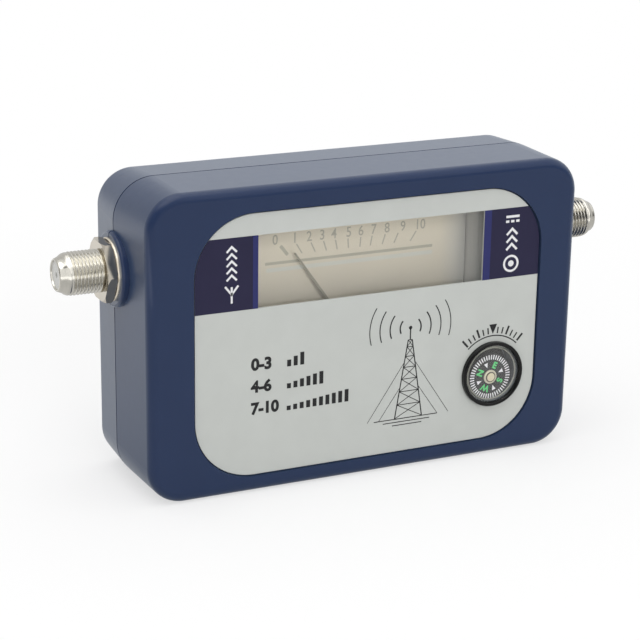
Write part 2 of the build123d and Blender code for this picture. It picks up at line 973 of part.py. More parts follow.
def meter_pivots():
    """The two halves of the staff, cemented to the front and the back of the coil."""
    front = rod(0, 0, staff_radius, front_pivot_end(), coil_front)
    back = rod(0, 0, staff_radius, coil_back, rear_pivot_end())
    front += rod(0, 0, collet_radius, *front_spring_depths()) - front
    back += rod(0, 0, collet_radius, *rear_spring_depths()) - back
    return [about_pivot(front), about_pivot(back)]


def front_pivot_end():
    """Where the front pivot ends, in the front screw's cup."""
    return bridge_back - staff_entry + staff_end_play


def rear_pivot_end():
    """Where the rear pivot ends, in the rear screw's cup."""
    return case_floor + staff_entry - staff_end_play


def front_spring_depths():
    """The front hairspring lies between the pointer and the bridge."""
    front = bridge_back + spring_front_offset
    return front, front + spring_height


def rear_spring_depths():
    """The rear hairspring lies between the coil and the case."""
    front = coil_back + spring_rear_offset
    return front, front + spring_height


def needle_blank():
    """The pointer, drawn upright about its axis: a tapered blade, a hub and a tail."""
    blade = make_face(
        Polyline(
            (-needle_root_width / 2, 0),
            (-needle_tip_width / 2, needle_length),
            (needle_tip_width / 2, needle_length),
            (needle_root_width / 2, 0),
            close=True,
        )
    )
    tail = block(-tail_width / 2, tail_width / 2, -tail_length, 0)
    plate = slab(blade + tail, needle_front, needle_front + needle_thickness)
    plate += rod(0, 0, hub_radius, needle_front, needle_front + hub_thickness)
    return plate - rod(0, 0, staff_radius, needle_front, needle_front + hub_thickness)


def weight_blank():
    """The brass weight on the tail, as long as it must be to balance the pointer."""
    needle = needle_blank()
    moment = needle.volume * needle.center(CenterOf.MASS).Z * aluminium_density
    needed = moment / (weight_arm * brass_density)
    slot_length = needle_thickness * tail_width * 2 * weight_radius
    length = (needed + slot_length) / (math.pi * weight_radius**2)
    middle = needle_front + needle_thickness / 2
    weight = rod(0, -weight_arm, weight_radius, middle - length / 2, middle + length / 2)
    return weight - needle


def needle_stops():
    """Two pins on the dial that the pointer meets just past the ends of its scale."""
    width = needle_root_width - (needle_root_width - needle_tip_width) * stop_distance / needle_length
    spare = math.degrees((width / 2 + stop_radius + stop_gap) / stop_distance)
    pins = []
    for angle in (lowest_angle - spare, highest_angle + spare):
        x = pivot_x + stop_distance * math.sin(math.radians(angle))
        z = pivot_z + stop_distance * math.cos(math.radians(angle))
        pins.append(rod(x, z, stop_radius, dial_front - stop_height, dial_front))
    return pins


def pivot_bridge():
    """The bar in front of the movement that carries the front pivot's screw."""
    bar = Pos(pivot_x, pivot_z) * SlotOverall(bridge_length, bridge_height)
    bar -= Pos(pivot_x, pivot_z) * Circle(jewel_screw_radius)
    for x in column_places():
        bar -= Pos(x, pivot_z) * Circle(column_radius / 2)
    return slab(bar, bridge_front, bridge_back)


def column_places():
    """The two columns of the bridge, beside the iron ring."""
    return pivot_x - column_spacing / 2, pivot_x + column_spacing / 2


def bridge_columns():
    """The turned columns, riveted through the case and the bridge at their thinner ends."""
    columns = []
    for x in column_places():
        column = rod(x, pivot_z, column_radius, bridge_back, case_floor)
        columns.append(column + rod(x, pivot_z, column_radius / 2, bridge_front, case_back))
    return columns


def jewel_screws():
    """The slotted bearing screws that hold the two pivots in their cups."""
    screws = []
    for seat, way in ((bridge_back, -1), (case_floor, 1)):
        end = seat + way * jewel_screw_length
        if way > 0:
            end = min(end, board_front)
        screw = rod(pivot_x, pivot_z, jewel_screw_radius, *sorted((seat, end)))
        cup = sorted((seat, seat + way * staff_entry))
        screw -= rod(pivot_x, pivot_z, staff_radius + staff_play, *cup)
        slot = Pos(pivot_x, pivot_z) * Rectangle(2 * jewel_screw_radius, jewel_screw_slot_width)
        screw -= slab(slot, *sorted((end, end - way * jewel_screw_slot_depth)))
        screws.append(screw)
    return screws


def hairspring(front, back):
    """A flat spiral of half circles, from beside the staff's collet out to its stud."""
    half_pitch = spring_pitch / 2
    radius = spring_inner_radius + spring_strip / 2
    start = Vector(radius, 0)
    arcs = []
    side = 1
    for turn in range(spring_half_turns):
        centre = start - Vector(side * radius, 0)
        angle = 0 if side > 0 else 180
        arcs.append(CenterArc((centre.X, centre.Y), radius, angle, 180))
        start = centre - Vector(side * radius, 0)
        radius += half_pitch
        side = -side
    strip = trace(Curve() + arcs, spring_strip)
    spiral = slab(strip, front, back)
    stud = rod(start.X, start.Y, stud_radius, front, back)
    return Pos(pivot_x, 0, pivot_z) * (spiral + stud), start


def spring_studs():
    """The posts that hold the outer end of each hairspring."""
    end = hairspring(*front_spring_depths())[1]
    x = pivot_x + end.X
    z = pivot_z + end.Y
    front_end = front_spring_depths()[0]
    rear_end = rear_spring_depths()[1]
    return [rod(x, z, stud_radius, bridge_back, front_end), rod(x, z, stud_radius, rear_end, case_floor)]


def led_places():
    """The two lamps behind the dial."""
    middle = (case_left + case_right) / 2
    return [(middle - led_spacing / 2, led_z), (middle + led_spacing / 2, led_z)]


def backlight_leds():
    """Round lamps on their leads, through the back of the meter case."""
    lamps = []
    for x, z in led_places():
        foot = board_front - led_lift
        lamp = rod(x, z, led_radius, foot - led_length, foot)
        lamp = fillet(lamp.edges().group_by(Axis.Y)[0], led_radius * dome_share)
        lamp += rod(x, z, led_flange_radius, foot - led_flange_height, foot)
        for side in (-1, 1):
            lead = Pos(x + side * led_lead_spacing / 2, z) * Rectangle(led_lead_width, led_lead_width)
            lamp += slab(lead, foot, board_front)
        lamps.append(lamp)
    return lamps


def terminal_places():
    """The meter's two terminals."""
    return pivot_x - terminal_spacing / 2, pivot_x + terminal_spacing / 2


def meter_terminals():
    """Pins from the meter case through the board."""
    return [rod(x, terminal_z, terminal_radius, case_floor, board_back) for x in terminal_places()]


def circuit_board():
    """The board behind the meter, with holes for its screws and the meter's pins."""
    outline = block(-board_half_width, board_half_width, board_bottom, board_top, board_corner)
    for x, z in board_screw_places:
        outline -= Pos(x, z) * Circle(board_screw_radius + screw_hole_play)
    for x in terminal_places():
        outline -= Pos(x, terminal_z) * Circle(terminal_radius)
    return slab(outline, board_front, board_back)


def board_screws():
    """The four screws that hold the board to the rear shell's posts."""
    return [
        screw_solid(
            x,
            z,
            board_front,
            board_screw_radius,
            board_screw_length,
            board_screw_head_radius,
            board_screw_head_height,
            points_forward=False,
        )
        for x, z in board_screw_places
    ]


def on_board(shares):
    """Places given as shares of the board's half width and of its height, as X and Z."""
    height = board_top - board_bottom
    return [(right * board_half_width, board_bottom + up * height) for right, up in shares]


def electrolytic_capacitors():
    """Round cans with a crimped groove, standing on the board."""
    cans = []
    for x, z in on_board(can_shares):
        top = board_front - can_length
        can = rod(x, z, can_radius, top, board_front)
        can = fillet(can.edges().group_by(Axis.Y)[0], can_rounding)
        groove = board_front - can_groove_rise
        ring = Circle(can_radius) - Circle(can_radius - can_groove)
        can -= slab(Pos(x, z) * ring, groove - 2 * can_groove, groove)
        cans.append(can)
    return cans


def inductors():
    """Ferrite bobbins with their windings."""
    bobbins = []
    for x, z in on_board(bobbin_shares):
        top = board_front - bobbin_length
        bobbin = rod(x, z, bobbin_core_radius, top, board_front)
        bobbin += rod(x, z, bobbin_radius, top, top + bobbin_flange)
        bobbin += rod(x, z, bobbin_radius, board_front - bobbin_flange, board_front)
        bobbin += rod(x, z, winding_radius, top + bobbin_flange, board_front - bobbin_flange)
        bobbins.append(bobbin)
    return bobbins


def amplifier_chip():
    """The signal chip: a notched block on two rows of legs."""
    ((chip_x, chip_z),) = on_board(chip_shares)
    foot = board_front - chip_lift
    body = slab(Pos(chip_x, chip_z) * Rectangle(chip_width, chip_length), foot - chip_height, foot)
    notch_z = chip_z + chip_length / 2
    body -= rod(chip_x, notch_z, chip_notch_radius, foot - chip_height, foot - chip_height / 2)
    for side in (-1, 1):
        for place in range(chip_legs_a_side):
            z = chip_z + (place - (chip_legs_a_side - 1) / 2) * chip_leg_pitch
            x = chip_x + side * (chip_width + chip_leg_thickness) / 2
            leg = Pos(x, z) * Rectangle(chip_leg_thickness, chip_leg_width)
            body += slab(leg, foot - chip_height / 2, board_front)
    return body


def transistors():
    """Half-round transistors on three leads."""
    made = []
    for x, z in on_board(transistor_shares):
        foot = board_front - transistor_lift
        outline = Circle(transistor_radius)
        cut = 2 * transistor_radius
        outline -= Pos(0, transistor_flat + cut / 2) * Rectangle(cut, cut)
        body = slab(Pos(x, z) * outline, foot - transistor_height, foot)
        for step in (-1, 0, 1):
            body += rod(x + step * lead_pitch, z, lead_radius, foot, board_front)
        made.append(body)
    return made


def ceramic_capacitors():
    """Disc capacitors on edge, on two leads."""
    made = []
    for x, z in on_board(disc_shares):
        middle = board_front - disc_lift - disc_radius
        side = Plane(origin=(x, middle, z), x_dir=(1, 0, 0), z_dir=(0, 0, 1))
        disc = extrude(side * Circle(disc_radius), disc_thickness / 2, both=True)
        disc = fillet(disc.edges().filter_by(GeomType.CIRCLE), disc_rounding)
        for step in (-1, 1):
            disc += rod(x + step * lead_pitch, z, lead_radius, middle, board_front)
        made.append(disc)
    return made


def axial_part(x, z, radius, length):
    """A small round part lying along Z, on a lead bent down at each end."""
    depth = board_front - axial_lift - radius
    lying = Plane(origin=(x, depth, z), x_dir=(1, 0, 0), z_dir=(0, 0, 1))
    body = extrude(lying * Circle(radius), length / 2, both=True)
    body = fillet(body.edges().filter_by(GeomType.CIRCLE), axial_end_rounding)
    body += extrude(lying * Circle(lead_radius), axial_lead_span / 2, both=True)
    for side in (-1, 1):
        end = z + side * (axial_lead_span / 2 - lead_radius)
        body += rod(x, end, lead_radius, depth, board_front)
    return body


def resistors():
    """The row of resistors under the meter."""
    return [axial_part(x, z, axial_radius, axial_length) for x, z in on_board(resistor_shares)]


def detector_diodes():
    """The glass diodes that turn the signal into the meter's current."""
    return [axial_part(x, z, diode_radius, diode_length) for x, z in on_board(diode_shares)]


def trimmer():
    """The preset that sets the meter's full scale: a square body and a slotted rotor."""
    ((trimmer_x, trimmer_z),) = on_board(trimmer_shares)
    foot = board_front - trimmer_lift
    square = Pos(trimmer_x, trimmer_z) * Rectangle(trimmer_side, trimmer_side)
    body = slab(square, foot - trimmer_height, foot)
    body += rod(trimmer_x, trimmer_z, rotor_radius, foot - trimmer_height - rotor_height, foot)
    slot = Pos(trimmer_x, trimmer_z) * Rectangle(2 * rotor_radius, rotor_slot_width)
    top = foot - trimmer_height - rotor_height
    body -= slab(slot, top, top + rotor_height)
    for step in (-1, 0, 1):
        lead = rod(trimmer_x + step * lead_pitch, trimmer_z, lead_radius, foot, board_front)
        body += lead
    return body


def build():
    """Every piece of the finder by its name."""
    antenna_side = {}
    power_side = {}
    for name, piece in (
        ("socket_barrel", socket_barrel()),
        ("socket_insulator", socket_insulator()),
        ("socket_contact", socket_contact()),
        ("washer", socket_washer()),
        ("hex_nut", socket_nut()),
        ("ground_lug", ground_lug()),
        ("signal_wire", signal_wire()),
    ):
        left, right = both_sides(piece)
        antenna_side["antenna_" + name] = left
        power_side["power_" + name] = right
    pieces = {
        "front_shell": front_shell(),
        "rear_shell": rear_shell(),
        "case_screws": case_screws(),
        "face_label": face_label(),
        "window_pane": window_pane(),
        "compass_rim": compass_rim(),
        "compass_retainer": compass_retainer(),
        "compass_cup": compass_cup(),
        "compass_lens": compass_lens(),
        "compass_pin": compass_pin(),
        "compass_card": compass_card(),
        "compass_magnet": compass_magnet(),
        "compass_jewel": compass_jewel(),
        "meter_case": meter_case(),
        "meter_screws": meter_screws(),
        "meter_dial": meter_dial(),
        "dial_screws": dial_screws(),
        "core_magnet": core_magnet(),
        "core_strap": core_strap(),
        "meter_yoke": meter_yoke(),
        "meter_coil": meter_coil(),
        "meter_pivots": meter_pivots(),
        "meter_needle": about_pivot(needle_blank()),
        "needle_weight": about_pivot(weight_blank()),
        "needle_stops": needle_stops(),
        "pivot_bridge": pivot_bridge(),
        "bridge_columns": bridge_columns(),
        "jewel_screws": jewel_screws(),
        "front_hairspring": hairspring(*front_spring_depths())[0],
        "rear_hairspring": hairspring(*rear_spring_depths())[0],
        "spring_studs": spring_studs(),
        "backlight_leds": backlight_leds(),
        "meter_terminals": meter_terminals(),
        "circuit_board": circuit_board(),
        "board_screws": board_screws(),
        "electrolytic_capacitors": electrolytic_capacitors(),
        "inductors": inductors(),
        "amplifier_chip": amplifier_chip(),
        "transistors": transistors(),
        "ceramic_capacitors": ceramic_capacitors(),
        "resistors": resistors(),
        "detector_diodes": detector_diodes(),
        "trimmer": trimmer(),
    }
    pieces.update(antenna_side)
    pieces.update(power_side)
    return pieces


def main():
    os.makedirs("parts", exist_ok=True)
    for name, piece in build().items():
        solids = []
        for item in piece if isinstance(piece, list) else [piece]:
            solids.extend(item.solids())
        placed = Compound([Pos(0, parting_y, 0) * solid for solid in solids])
        export_step(placed, f"parts/{name}.step")
    print("parting plane at y =", round(parting_y, 3))


main()
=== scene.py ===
"""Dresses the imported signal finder: printed face, threads, materials, light and camera."""

import json
import math

import bmesh
import bpy
from mathutils import Matrix, Vector


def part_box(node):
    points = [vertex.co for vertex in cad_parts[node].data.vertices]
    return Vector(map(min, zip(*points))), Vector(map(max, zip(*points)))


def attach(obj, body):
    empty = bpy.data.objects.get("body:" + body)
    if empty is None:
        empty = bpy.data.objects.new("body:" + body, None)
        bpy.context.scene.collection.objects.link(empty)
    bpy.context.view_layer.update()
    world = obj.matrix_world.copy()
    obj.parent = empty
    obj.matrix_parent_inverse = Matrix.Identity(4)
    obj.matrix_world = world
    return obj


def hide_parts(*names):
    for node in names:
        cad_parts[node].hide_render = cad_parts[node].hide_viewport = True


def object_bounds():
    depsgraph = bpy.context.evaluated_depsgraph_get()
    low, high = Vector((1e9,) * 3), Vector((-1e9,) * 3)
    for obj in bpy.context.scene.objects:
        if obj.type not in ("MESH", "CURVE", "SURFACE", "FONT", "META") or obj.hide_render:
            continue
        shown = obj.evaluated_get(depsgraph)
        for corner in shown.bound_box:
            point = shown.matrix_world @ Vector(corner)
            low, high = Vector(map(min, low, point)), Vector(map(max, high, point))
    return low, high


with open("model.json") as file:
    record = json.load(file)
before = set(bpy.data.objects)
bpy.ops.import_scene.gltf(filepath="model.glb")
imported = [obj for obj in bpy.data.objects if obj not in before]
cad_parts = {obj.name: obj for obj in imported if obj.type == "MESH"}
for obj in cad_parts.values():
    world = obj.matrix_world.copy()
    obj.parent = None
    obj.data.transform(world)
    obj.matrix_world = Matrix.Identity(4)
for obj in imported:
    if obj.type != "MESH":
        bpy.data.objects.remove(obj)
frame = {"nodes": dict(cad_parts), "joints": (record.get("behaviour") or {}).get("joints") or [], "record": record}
cad_low, cad_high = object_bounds()
nodes = frame["nodes"]

# Real sizes in the row frame, in millimetres: X to the right, Z up, Y into the object.
MM = 0.001
FILM = 0.02
MERGE = 0.0005
WHOLE_TURN = 2 * math.pi
# Which way each socket points
SIGNS = {"antenna": -1, "power": 1}


def edges(node):
    """A CAD node's left, right, bottom, top, front and back, in millimetres."""
    low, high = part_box(node)
    return tuple(value / MM for value in (low.x, high.x, low.z, high.z, low.y, high.y))


def centre(node):
    """The middle of a CAD node along X, Z and Y, in millimetres."""
    left, right, bottom, top, front, back = edges(node)
    return (left + right) / 2, (bottom + top) / 2, (front + back) / 2


def reaches(node):
    """How far from the middle of the object a node at a side starts and ends, in millimetres."""
    return sorted(abs(value) for value in edges(node)[:2])


LABEL_CORNER = 13.6
PANE_BEYOND_WINDOW = 1.7
DIAL_SHADE_WIDTH = 6.0
LABEL_LEFT, LABEL_RIGHT, _, LABEL_TOP, LABEL_FRONT, _ = edges("face_label")
PANE_LEFT, PANE_RIGHT, PANE_BOTTOM, PANE_TOP, _, _ = edges("window_pane")
WINDOW_LEFT = PANE_LEFT + PANE_BEYOND_WINDOW
WINDOW_RIGHT = PANE_RIGHT - PANE_BEYOND_WINDOW
WINDOW_BOTTOM = PANE_BOTTOM + PANE_BEYOND_WINDOW
WINDOW_TOP = PANE_TOP - PANE_BEYOND_WINDOW
DIAL_FRONT = edges("meter_dial")[4]
METER_FRONT = edges("meter_case")[4]
COMPASS_X, COMPASS_Z, _ = centre("compass_rim")
CARD_X, CARD_Z, _ = centre("compass_card")
CARD_FRONT = edges("compass_card")[4]
PIVOT_X, _, PIVOT_Z = (value / MM for value in frame["joints"][0]["pos_m"])
_, SOCKET_Z, SOCKET_Y = centre("antenna_socket_insulator")
_, _, WASHER_BOTTOM, WASHER_TOP, _, _ = edges("antenna_washer")
WASHER_RADIUS = (WASHER_TOP - WASHER_BOTTOM) / 2


# Node trees


def axis_of(tree, output, axis):
    """A place's or a direction's part along an axis, from a coordinate output."""
    place = tree.nodes.new("ShaderNodeTexCoord")
    apart = tree.nodes.new("ShaderNodeSeparateXYZ")
    tree.links.new(place.outputs[output], apart.inputs["Vector"])
    return apart.outputs[axis]


def moved_range(tree, value, start, end, low=0.0, high=1.0, kind="LINEAR"):
    """A value taken from one range to another and held at its ends."""
    step = tree.nodes.new("ShaderNodeMapRange")
    step.interpolation_type = kind
    step.inputs["From Min"].default_value = start
    step.inputs["From Max"].default_value = end
    step.inputs["To Min"].default_value = low
    step.inputs["To Max"].default_value = high
    tree.links.new(value, step.inputs["Value"])
    return step.outputs["Result"]


def ramp(tree, value, start, end, low=0.0, high=1.0):
    """A smooth step of a value between two limits."""
    return moved_range(tree, value, start, end, low, high, "SMOOTHSTEP")


def combined(tree, operation, first, second):
    """The result of an operation on two values."""
    result = tree.nodes.new("ShaderNodeMath")
    result.operation = operation
    tree.links.new(first, result.inputs[0])
    tree.links.new(second, result.inputs[1])
    return result.outputs["Value"]


def mixed_colour(tree, share, first, second):
    """A colour between two, each given as a colour or as a node's output."""
    mix = tree.nodes.new("ShaderNodeMix")
    mix.data_type = "RGBA"
    for name, value in (("A", first), ("B", second)):
        if isinstance(value, bpy.types.NodeSocket):
            tree.links.new(value, mix.inputs[name])
        else:
            mix.inputs[name].default_value = value
    tree.links.new(share, mix.inputs["Factor"])
    return mix.outputs["Result"]


def mixed_shader(tree, share, first, second):
    """A shader between two others."""
    mix = tree.nodes.new("ShaderNodeMixShader")
    tree.links.new(share, mix.inputs["Fac"])
    tree.links.new(first, mix.inputs[1])
    tree.links.new(second, mix.inputs[2])
    return mix.outputs["Shader"]


def ray_is(tree, *kinds):
    """1 for a ray of any of these kinds, otherwise 0."""
    path = tree.nodes.new("ShaderNodeLightPath")
    value = path.outputs["Is " + kinds[0] + " Ray"]
    for kind in kinds[1:]:
        value = combined(tree, "MAXIMUM", value, path.outputs["Is " + kind + " Ray"])
    return value


# Materials

# Between these two lie most of a noise's values
NOISE_LOW, NOISE_HIGH = 0.3, 0.7
MOTTLE_DETAIL, GLOSS_DETAIL, GRAIN_DETAIL = 4.0, 3.0, 2.0
# The gloss varies over this share of the size of the mottle
GLOSS_SHARE = 1 / 3
SMOOTHEST = 0.02
CLEAR_WAVE, CLEAR_RELIEF = 12.0, 0.002


def rgb(red, green, blue):
    """A colour as it looks on a screen, from 0 to 255, in the renderer's linear values."""
    return [
        (c / 12.92 if c <= 0.04045 else ((c + 0.055) / 1.055) ** 2.4)
        for c in (red / 255, green / 255, blue / 255)
    ] + [1.0]


def noise(tree, size, detail=GRAIN_DETAIL, stretch=(1, 1, 1)):
    """A noise whose features are about a size in millimetres, in the object's own space."""
    place = tree.nodes.new("ShaderNodeTexCoord")
    mapping = tree.nodes.new("ShaderNodeMapping")
    mapping.inputs["Scale"].default_value = stretch
    texture = tree.nodes.new("ShaderNodeTexNoise")
    texture.inputs["Scale"].default_value = 1 / (size * MM)
    texture.inputs["Detail"].default_value = detail
    tree.links.new(place.outputs["Object"], mapping.inputs["Vector"])
    tree.links.new(mapping.outputs["Vector"], texture.inputs["Vector"])
    return texture.outputs["Fac"]


def span(tree, value, low, high):
    """A noise's value spread over a range."""
    return moved_range(tree, value, NOISE_LOW, NOISE_HIGH, low, high)


def relief(tree, shader, height, value):
    """A fine relief of a height in millimetres on a shader's surface."""
    bump = tree.nodes.new("ShaderNodeBump")
    bump.inputs["Strength"].default_value = 1.0
    bump.inputs["Distance"].default_value = height * MM
    tree.links.new(value, bump.inputs["Height"])
    tree.links.new(bump.outputs["Normal"], shader.inputs["Normal"])


def surface(
    name,
    colour,
    roughness,
    metallic=0.0,
    grain=0.25,
    height=0.004,
    mottle=0.06,
    mottle_size=6.0,
    gloss_spread=0.05,
    stretch=(1, 1, 1),
    specular=0.5,
    coat=0.0,
    coat_ior=1.5,
    coat_roughness=0.05,
    sheen=0.0,
    sheen_tint=(1.0, 1.0, 1.0, 1.0),
):
    """A material with a slightly uneven colour and gloss and a fine relief."""
    made = bpy.data.materials.new(name)
    made.use_nodes = True
    tree = made.node_tree
    shader = tree.nodes["Principled BSDF"]
    shader.inputs["Metallic"].default_value = metallic
    shader.inputs["Specular IOR Level"].default_value = specular
    shader.inputs["Coat Weight"].default_value = coat
    shader.inputs["Coat IOR"].default_value = coat_ior
    shader.inputs["Coat Roughness"].default_value = coat_roughness
    shader.inputs["Sheen Weight"].default_value = sheen
    shader.inputs["Sheen Tint"].default_value = sheen_tint
    darker = [c * (1 - mottle) for c in colour[:3]] + [1.0]
    lighter = [min(1.0, c * (1 + mottle)) for c in colour[:3]] + [1.0]
    cloud = span(tree, noise(tree, mottle_size, MOTTLE_DETAIL, stretch), 0, 1)
    tree.links.new(mixed_colour(tree, cloud, darker, lighter), shader.inputs["Base Color"])
    uneven = noise(tree, mottle_size * GLOSS_SHARE, GLOSS_DETAIL, stretch)
    smoothest = max(SMOOTHEST, roughness - gloss_spread)
    gloss = span(tree, uneven, smoothest, roughness + gloss_spread)
    tree.links.new(gloss, shader.inputs["Roughness"])
    relief(tree, shader, height, noise(tree, grain, stretch=stretch))
    return made


def clear(name, colour, roughness, ior=1.49):
    """A clear moulding that lets the lamps' light through to what is behind it."""
    made = bpy.data.materials.new(name)
    made.use_nodes = True
    tree = made.node_tree
    shader = tree.nodes["Principled BSDF"]
    shader.inputs["Base Color"].default_value = colour
    shader.inputs["Roughness"].default_value = roughness
    shader.inputs["Transmission Weight"].default_value = 1.0
    shader.inputs["IOR"].default_value = ior
    relief(tree, shader, CLEAR_RELIEF, noise(tree, CLEAR_WAVE))
    through = tree.nodes.new("ShaderNodeBsdfTransparent")
    shadow = ray_is(tree, "Shadow")
    both = mixed_shader(tree, shadow, shader.outputs["BSDF"], through.outputs["BSDF"])
    tree.links.new(both, tree.nodes["Material Output"].inputs["Surface"])
    return made


def along(look, axis):
    """A place's coordinate on an axis of the object's own space."""
    return axis_of(look.node_tree, "Object", axis)


def off_axis(look, first, first_centre, second, second_centre):
    """A place's distance from a line through a centre, across two axes."""
    tree = look.node_tree
    across = tree.nodes.new("ShaderNodeCombineXYZ")
    distance = tree.nodes.new("ShaderNodeVectorMath")
    distance.operation = "DISTANCE"
    middle = {"X": 0.0, "Y": 0.0, "Z": 0.0}
    for axis, place in ((first, first_centre), (second, second_centre)):
        tree.links.new(along(look, axis), across.inputs[axis])
        middle[axis] = place * MM
    tree.links.new(across.outputs["Vector"], distance.inputs[0])
    distance.inputs[1].default_value = tuple(middle.values())
    return distance.outputs["Value"]


def blend(look, value, start, end, colour):
    """Turns a look's colour into another between two limits, in millimetres, of a value."""
    tree = look.node_tree
    shader = tree.nodes["Principled BSDF"]
    before = shader.inputs["Base Color"].links[0].from_socket
    share = moved_range(tree, value, start * MM, end * MM)
    tree.links.new(mixed_colour(tree, share, before, colour), shader.inputs["Base Color"])


# Each look: its name, its colour and its roughness, and where it isn't a plain moulding's

SHELL = surface(
    "navy_moulding",
    rgb(32, 48, 81),
    0.36,
    grain=0.35,
    height=0.0015,
    mottle=0.02,
    gloss_spread=0.02,
    specular=0.08,
    coat=1.0,
    coat_ior=1.34,
    coat_roughness=0.28,
    sheen=0.16,
    sheen_tint=(0.5, 0.72, 1.0, 1.0),
)
LABEL = surface("silver_label", rgb(197, 200, 196), 0.45, grain=0.12, height=0.002, mottle=0.02)
PANEL = surface("violet_ink", rgb(43, 41, 67), 0.4, height=0.001, mottle=0.03, specular=0.2)
# Painted light: the bluer strips along the window stand for light showing through the violet ink
BACKLIGHT_BLUE = surface("painted_backlight_blue", rgb(50, 53, 104), 0.4, height=0.001, mottle=0.03, specular=0.2)
BLACK_INK = surface("black_ink", rgb(24, 24, 26), 0.45, grain=0.12, height=0.002, mottle=0.1)
WHITE_INK = surface("white_ink", rgb(232, 232, 234), 0.4, grain=0.12, height=0.002, mottle=0.02)
BEZEL = surface(
    "black_bezel",
    rgb(17, 17, 18),
    0.22,
    grain=0.3,
    height=0.002,
    mottle=0.1,
    specular=0.3,
)
CARD = surface("card_black", rgb(26, 26, 27), 0.5, grain=0.15, height=0.003, mottle=0.1)
CARD_GREEN = surface("card_green", rgb(84, 200, 116), 0.5, grain=0.1, height=0.002, mottle=0.05)
DIAL = surface("dial_cream", rgb(224, 216, 199), 0.6, grain=0.15, height=0.002, mottle=0.02)
# Painted shade: the dial darkens towards the window's bottom and greys towards its right edge, where the recess
# shades it
blend(DIAL, along(DIAL, "Z"), WINDOW_TOP, WINDOW_BOTTOM, rgb(196, 190, 176))
blend(DIAL, along(DIAL, "X"), WINDOW_RIGHT - DIAL_SHADE_WIDTH, WINDOW_RIGHT, rgb(186, 186, 182))
DIAL_INK = surface("dial_ink", rgb(172, 169, 155), 0.6, grain=0.1, height=0.001, mottle=0.05)
DIAL_PALE = surface("dial_pale_ink", rgb(200, 201, 194), 0.6, grain=0.1, height=0.001, mottle=0.03)
METER = surface("meter_grey", rgb(212, 212, 210), 0.5, grain=0.3, height=0.004, mottle=0.04)
# Painted shade: the meter's walls turn darker from the dial towards the window, as shade in the recess
blend(METER, along(METER, "Y"), DIAL_FRONT, METER_FRONT, rgb(132, 136, 142))
POINTER = surface("pointer_paint", rgb(146, 143, 130), 0.5, grain=0.1, height=0.002, mottle=0.08)
NICKEL = surface(
    "nickel_plate",
    rgb(208, 205, 196),
    0.16,
    metallic=1.0,
    grain=0.12,
    height=0.0006,
    mottle=0.05,
    mottle_size=2.0,
    gloss_spread=0.04,
    stretch=(6, 1, 1),
)
NUT = surface(
    "nickel_nut",
    rgb(200, 193, 180),
    0.1,
    metallic=1.0,
    grain=0.4,
    height=0.0005,
    mottle=0.04,
    gloss_spread=0.03,
)
STEEL = surface("zinc_steel", rgb(172, 172, 170), 0.3, metallic=1.0, grain=0.2, height=0.002)
IRON = surface("dark_iron", rgb(84, 84, 86), 0.45, metallic=0.8, grain=0.2, height=0.004)
BRASS = surface("brass", rgb(214, 184, 120), 0.25, metallic=1.0, grain=0.15, height=0.001)
JEWEL = surface("pale_brass", rgb(216, 206, 178), 0.4, metallic=0.5, grain=0.15, height=0.001)
# Painted highlight: a pale ring behind the compass lens shows its edge catching light
RING = surface("pale_ring", rgb(226, 226, 216), 0.4, grain=0.2, height=0.001)
# The capsule is painted dark inside as shade, and light grey round its rim, outside the card, as its lit wall
CUP_RIM_START, CUP_RIM_END = 6.2, 6.3
CUP = surface("capsule_cup", rgb(36, 32, 28), 0.4, grain=0.3, height=0.002, mottle=0.1)
from_compass = off_axis(CUP, "X", COMPASS_X, "Z", COMPASS_Z)
blend(CUP, from_compass, CUP_RIM_START, CUP_RIM_END, rgb(140, 146, 150))
COPPER = surface("copper", rgb(206, 130, 92), 0.3, metallic=1.0, grain=0.1, height=0.003)
INSULATOR = surface("white_insulator", rgb(226, 226, 222), 0.4, grain=0.2, height=0.002, mottle=0.02)
BOARD = surface("green_board", rgb(36, 104, 66), 0.3, grain=0.5, height=0.004, mottle=0.12)
LAMP = surface("lamp", rgb(236, 214, 160), 0.2, grain=0.3, height=0.001, mottle=0.03, coat=0.5)
CAN = surface("can_sleeve", rgb(40, 48, 92), 0.3, grain=0.3, height=0.002, mottle=0.08)
FERRITE = surface("ferrite", rgb(70, 62, 58), 0.55, grain=0.2, height=0.006, mottle=0.15)
DISC = surface("dipped_disc", rgb(196, 142, 84), 0.35, grain=0.4, height=0.004, mottle=0.1)
RESISTOR = surface("dipped_resistor", rgb(214, 194, 152), 0.35, grain=0.4, height=0.004, mottle=0.1)
DIODE = surface("diode_glass", rgb(204, 122, 76), 0.15, grain=0.4, height=0.001, mottle=0.1, coat=0.5)
TRIMMER = surface("trimmer_blue", rgb(60, 110, 180), 0.35, grain=0.3, height=0.002, mottle=0.06)
PANE = clear("clear_pane", (0.97, 0.965, 0.94, 1.0), 0.02)
LENS = clear("clear_lens", (0.98, 0.98, 0.98, 1.0), 0.01)

SLOT_LOOKS = {
    "case_plastic": SHELL,
    "label": LABEL,
    "clear": PANE,
    "black_plastic": BEZEL,
    "card": CARD,
    "meter_plastic": METER,
    "dial": DIAL,
    "pointer": POINTER,
    "nickel": NICKEL,
    "steel": STEEL,
    "magnet": IRON,
    "brass": BRASS,
    "copper": COPPER,
    "insulator": INSULATOR,
    "board": BOARD,
    "lamp": LAMP,
    "can": CAN,
    "ferrite": FERRITE,
    "disc": DISC,
    "resistor": RESISTOR,
    "diode": DIODE,
    "trimmer": TRIMMER,
}


def finish_node(name, look):
    """Gives a CAD node its material."""
    mesh = nodes[name].data
    mesh.materials.clear()
    mesh.materials.append(look)


for part in frame["record"]["subparts"]:
    finish_node(part["node"], SLOT_LOOKS[part["material_slot"]])
finish_node("compass_lens", LENS)
finish_node("compass_cup", CUP)
for side in SIGNS:
    finish_node(side + "_hex_nut", NUT)


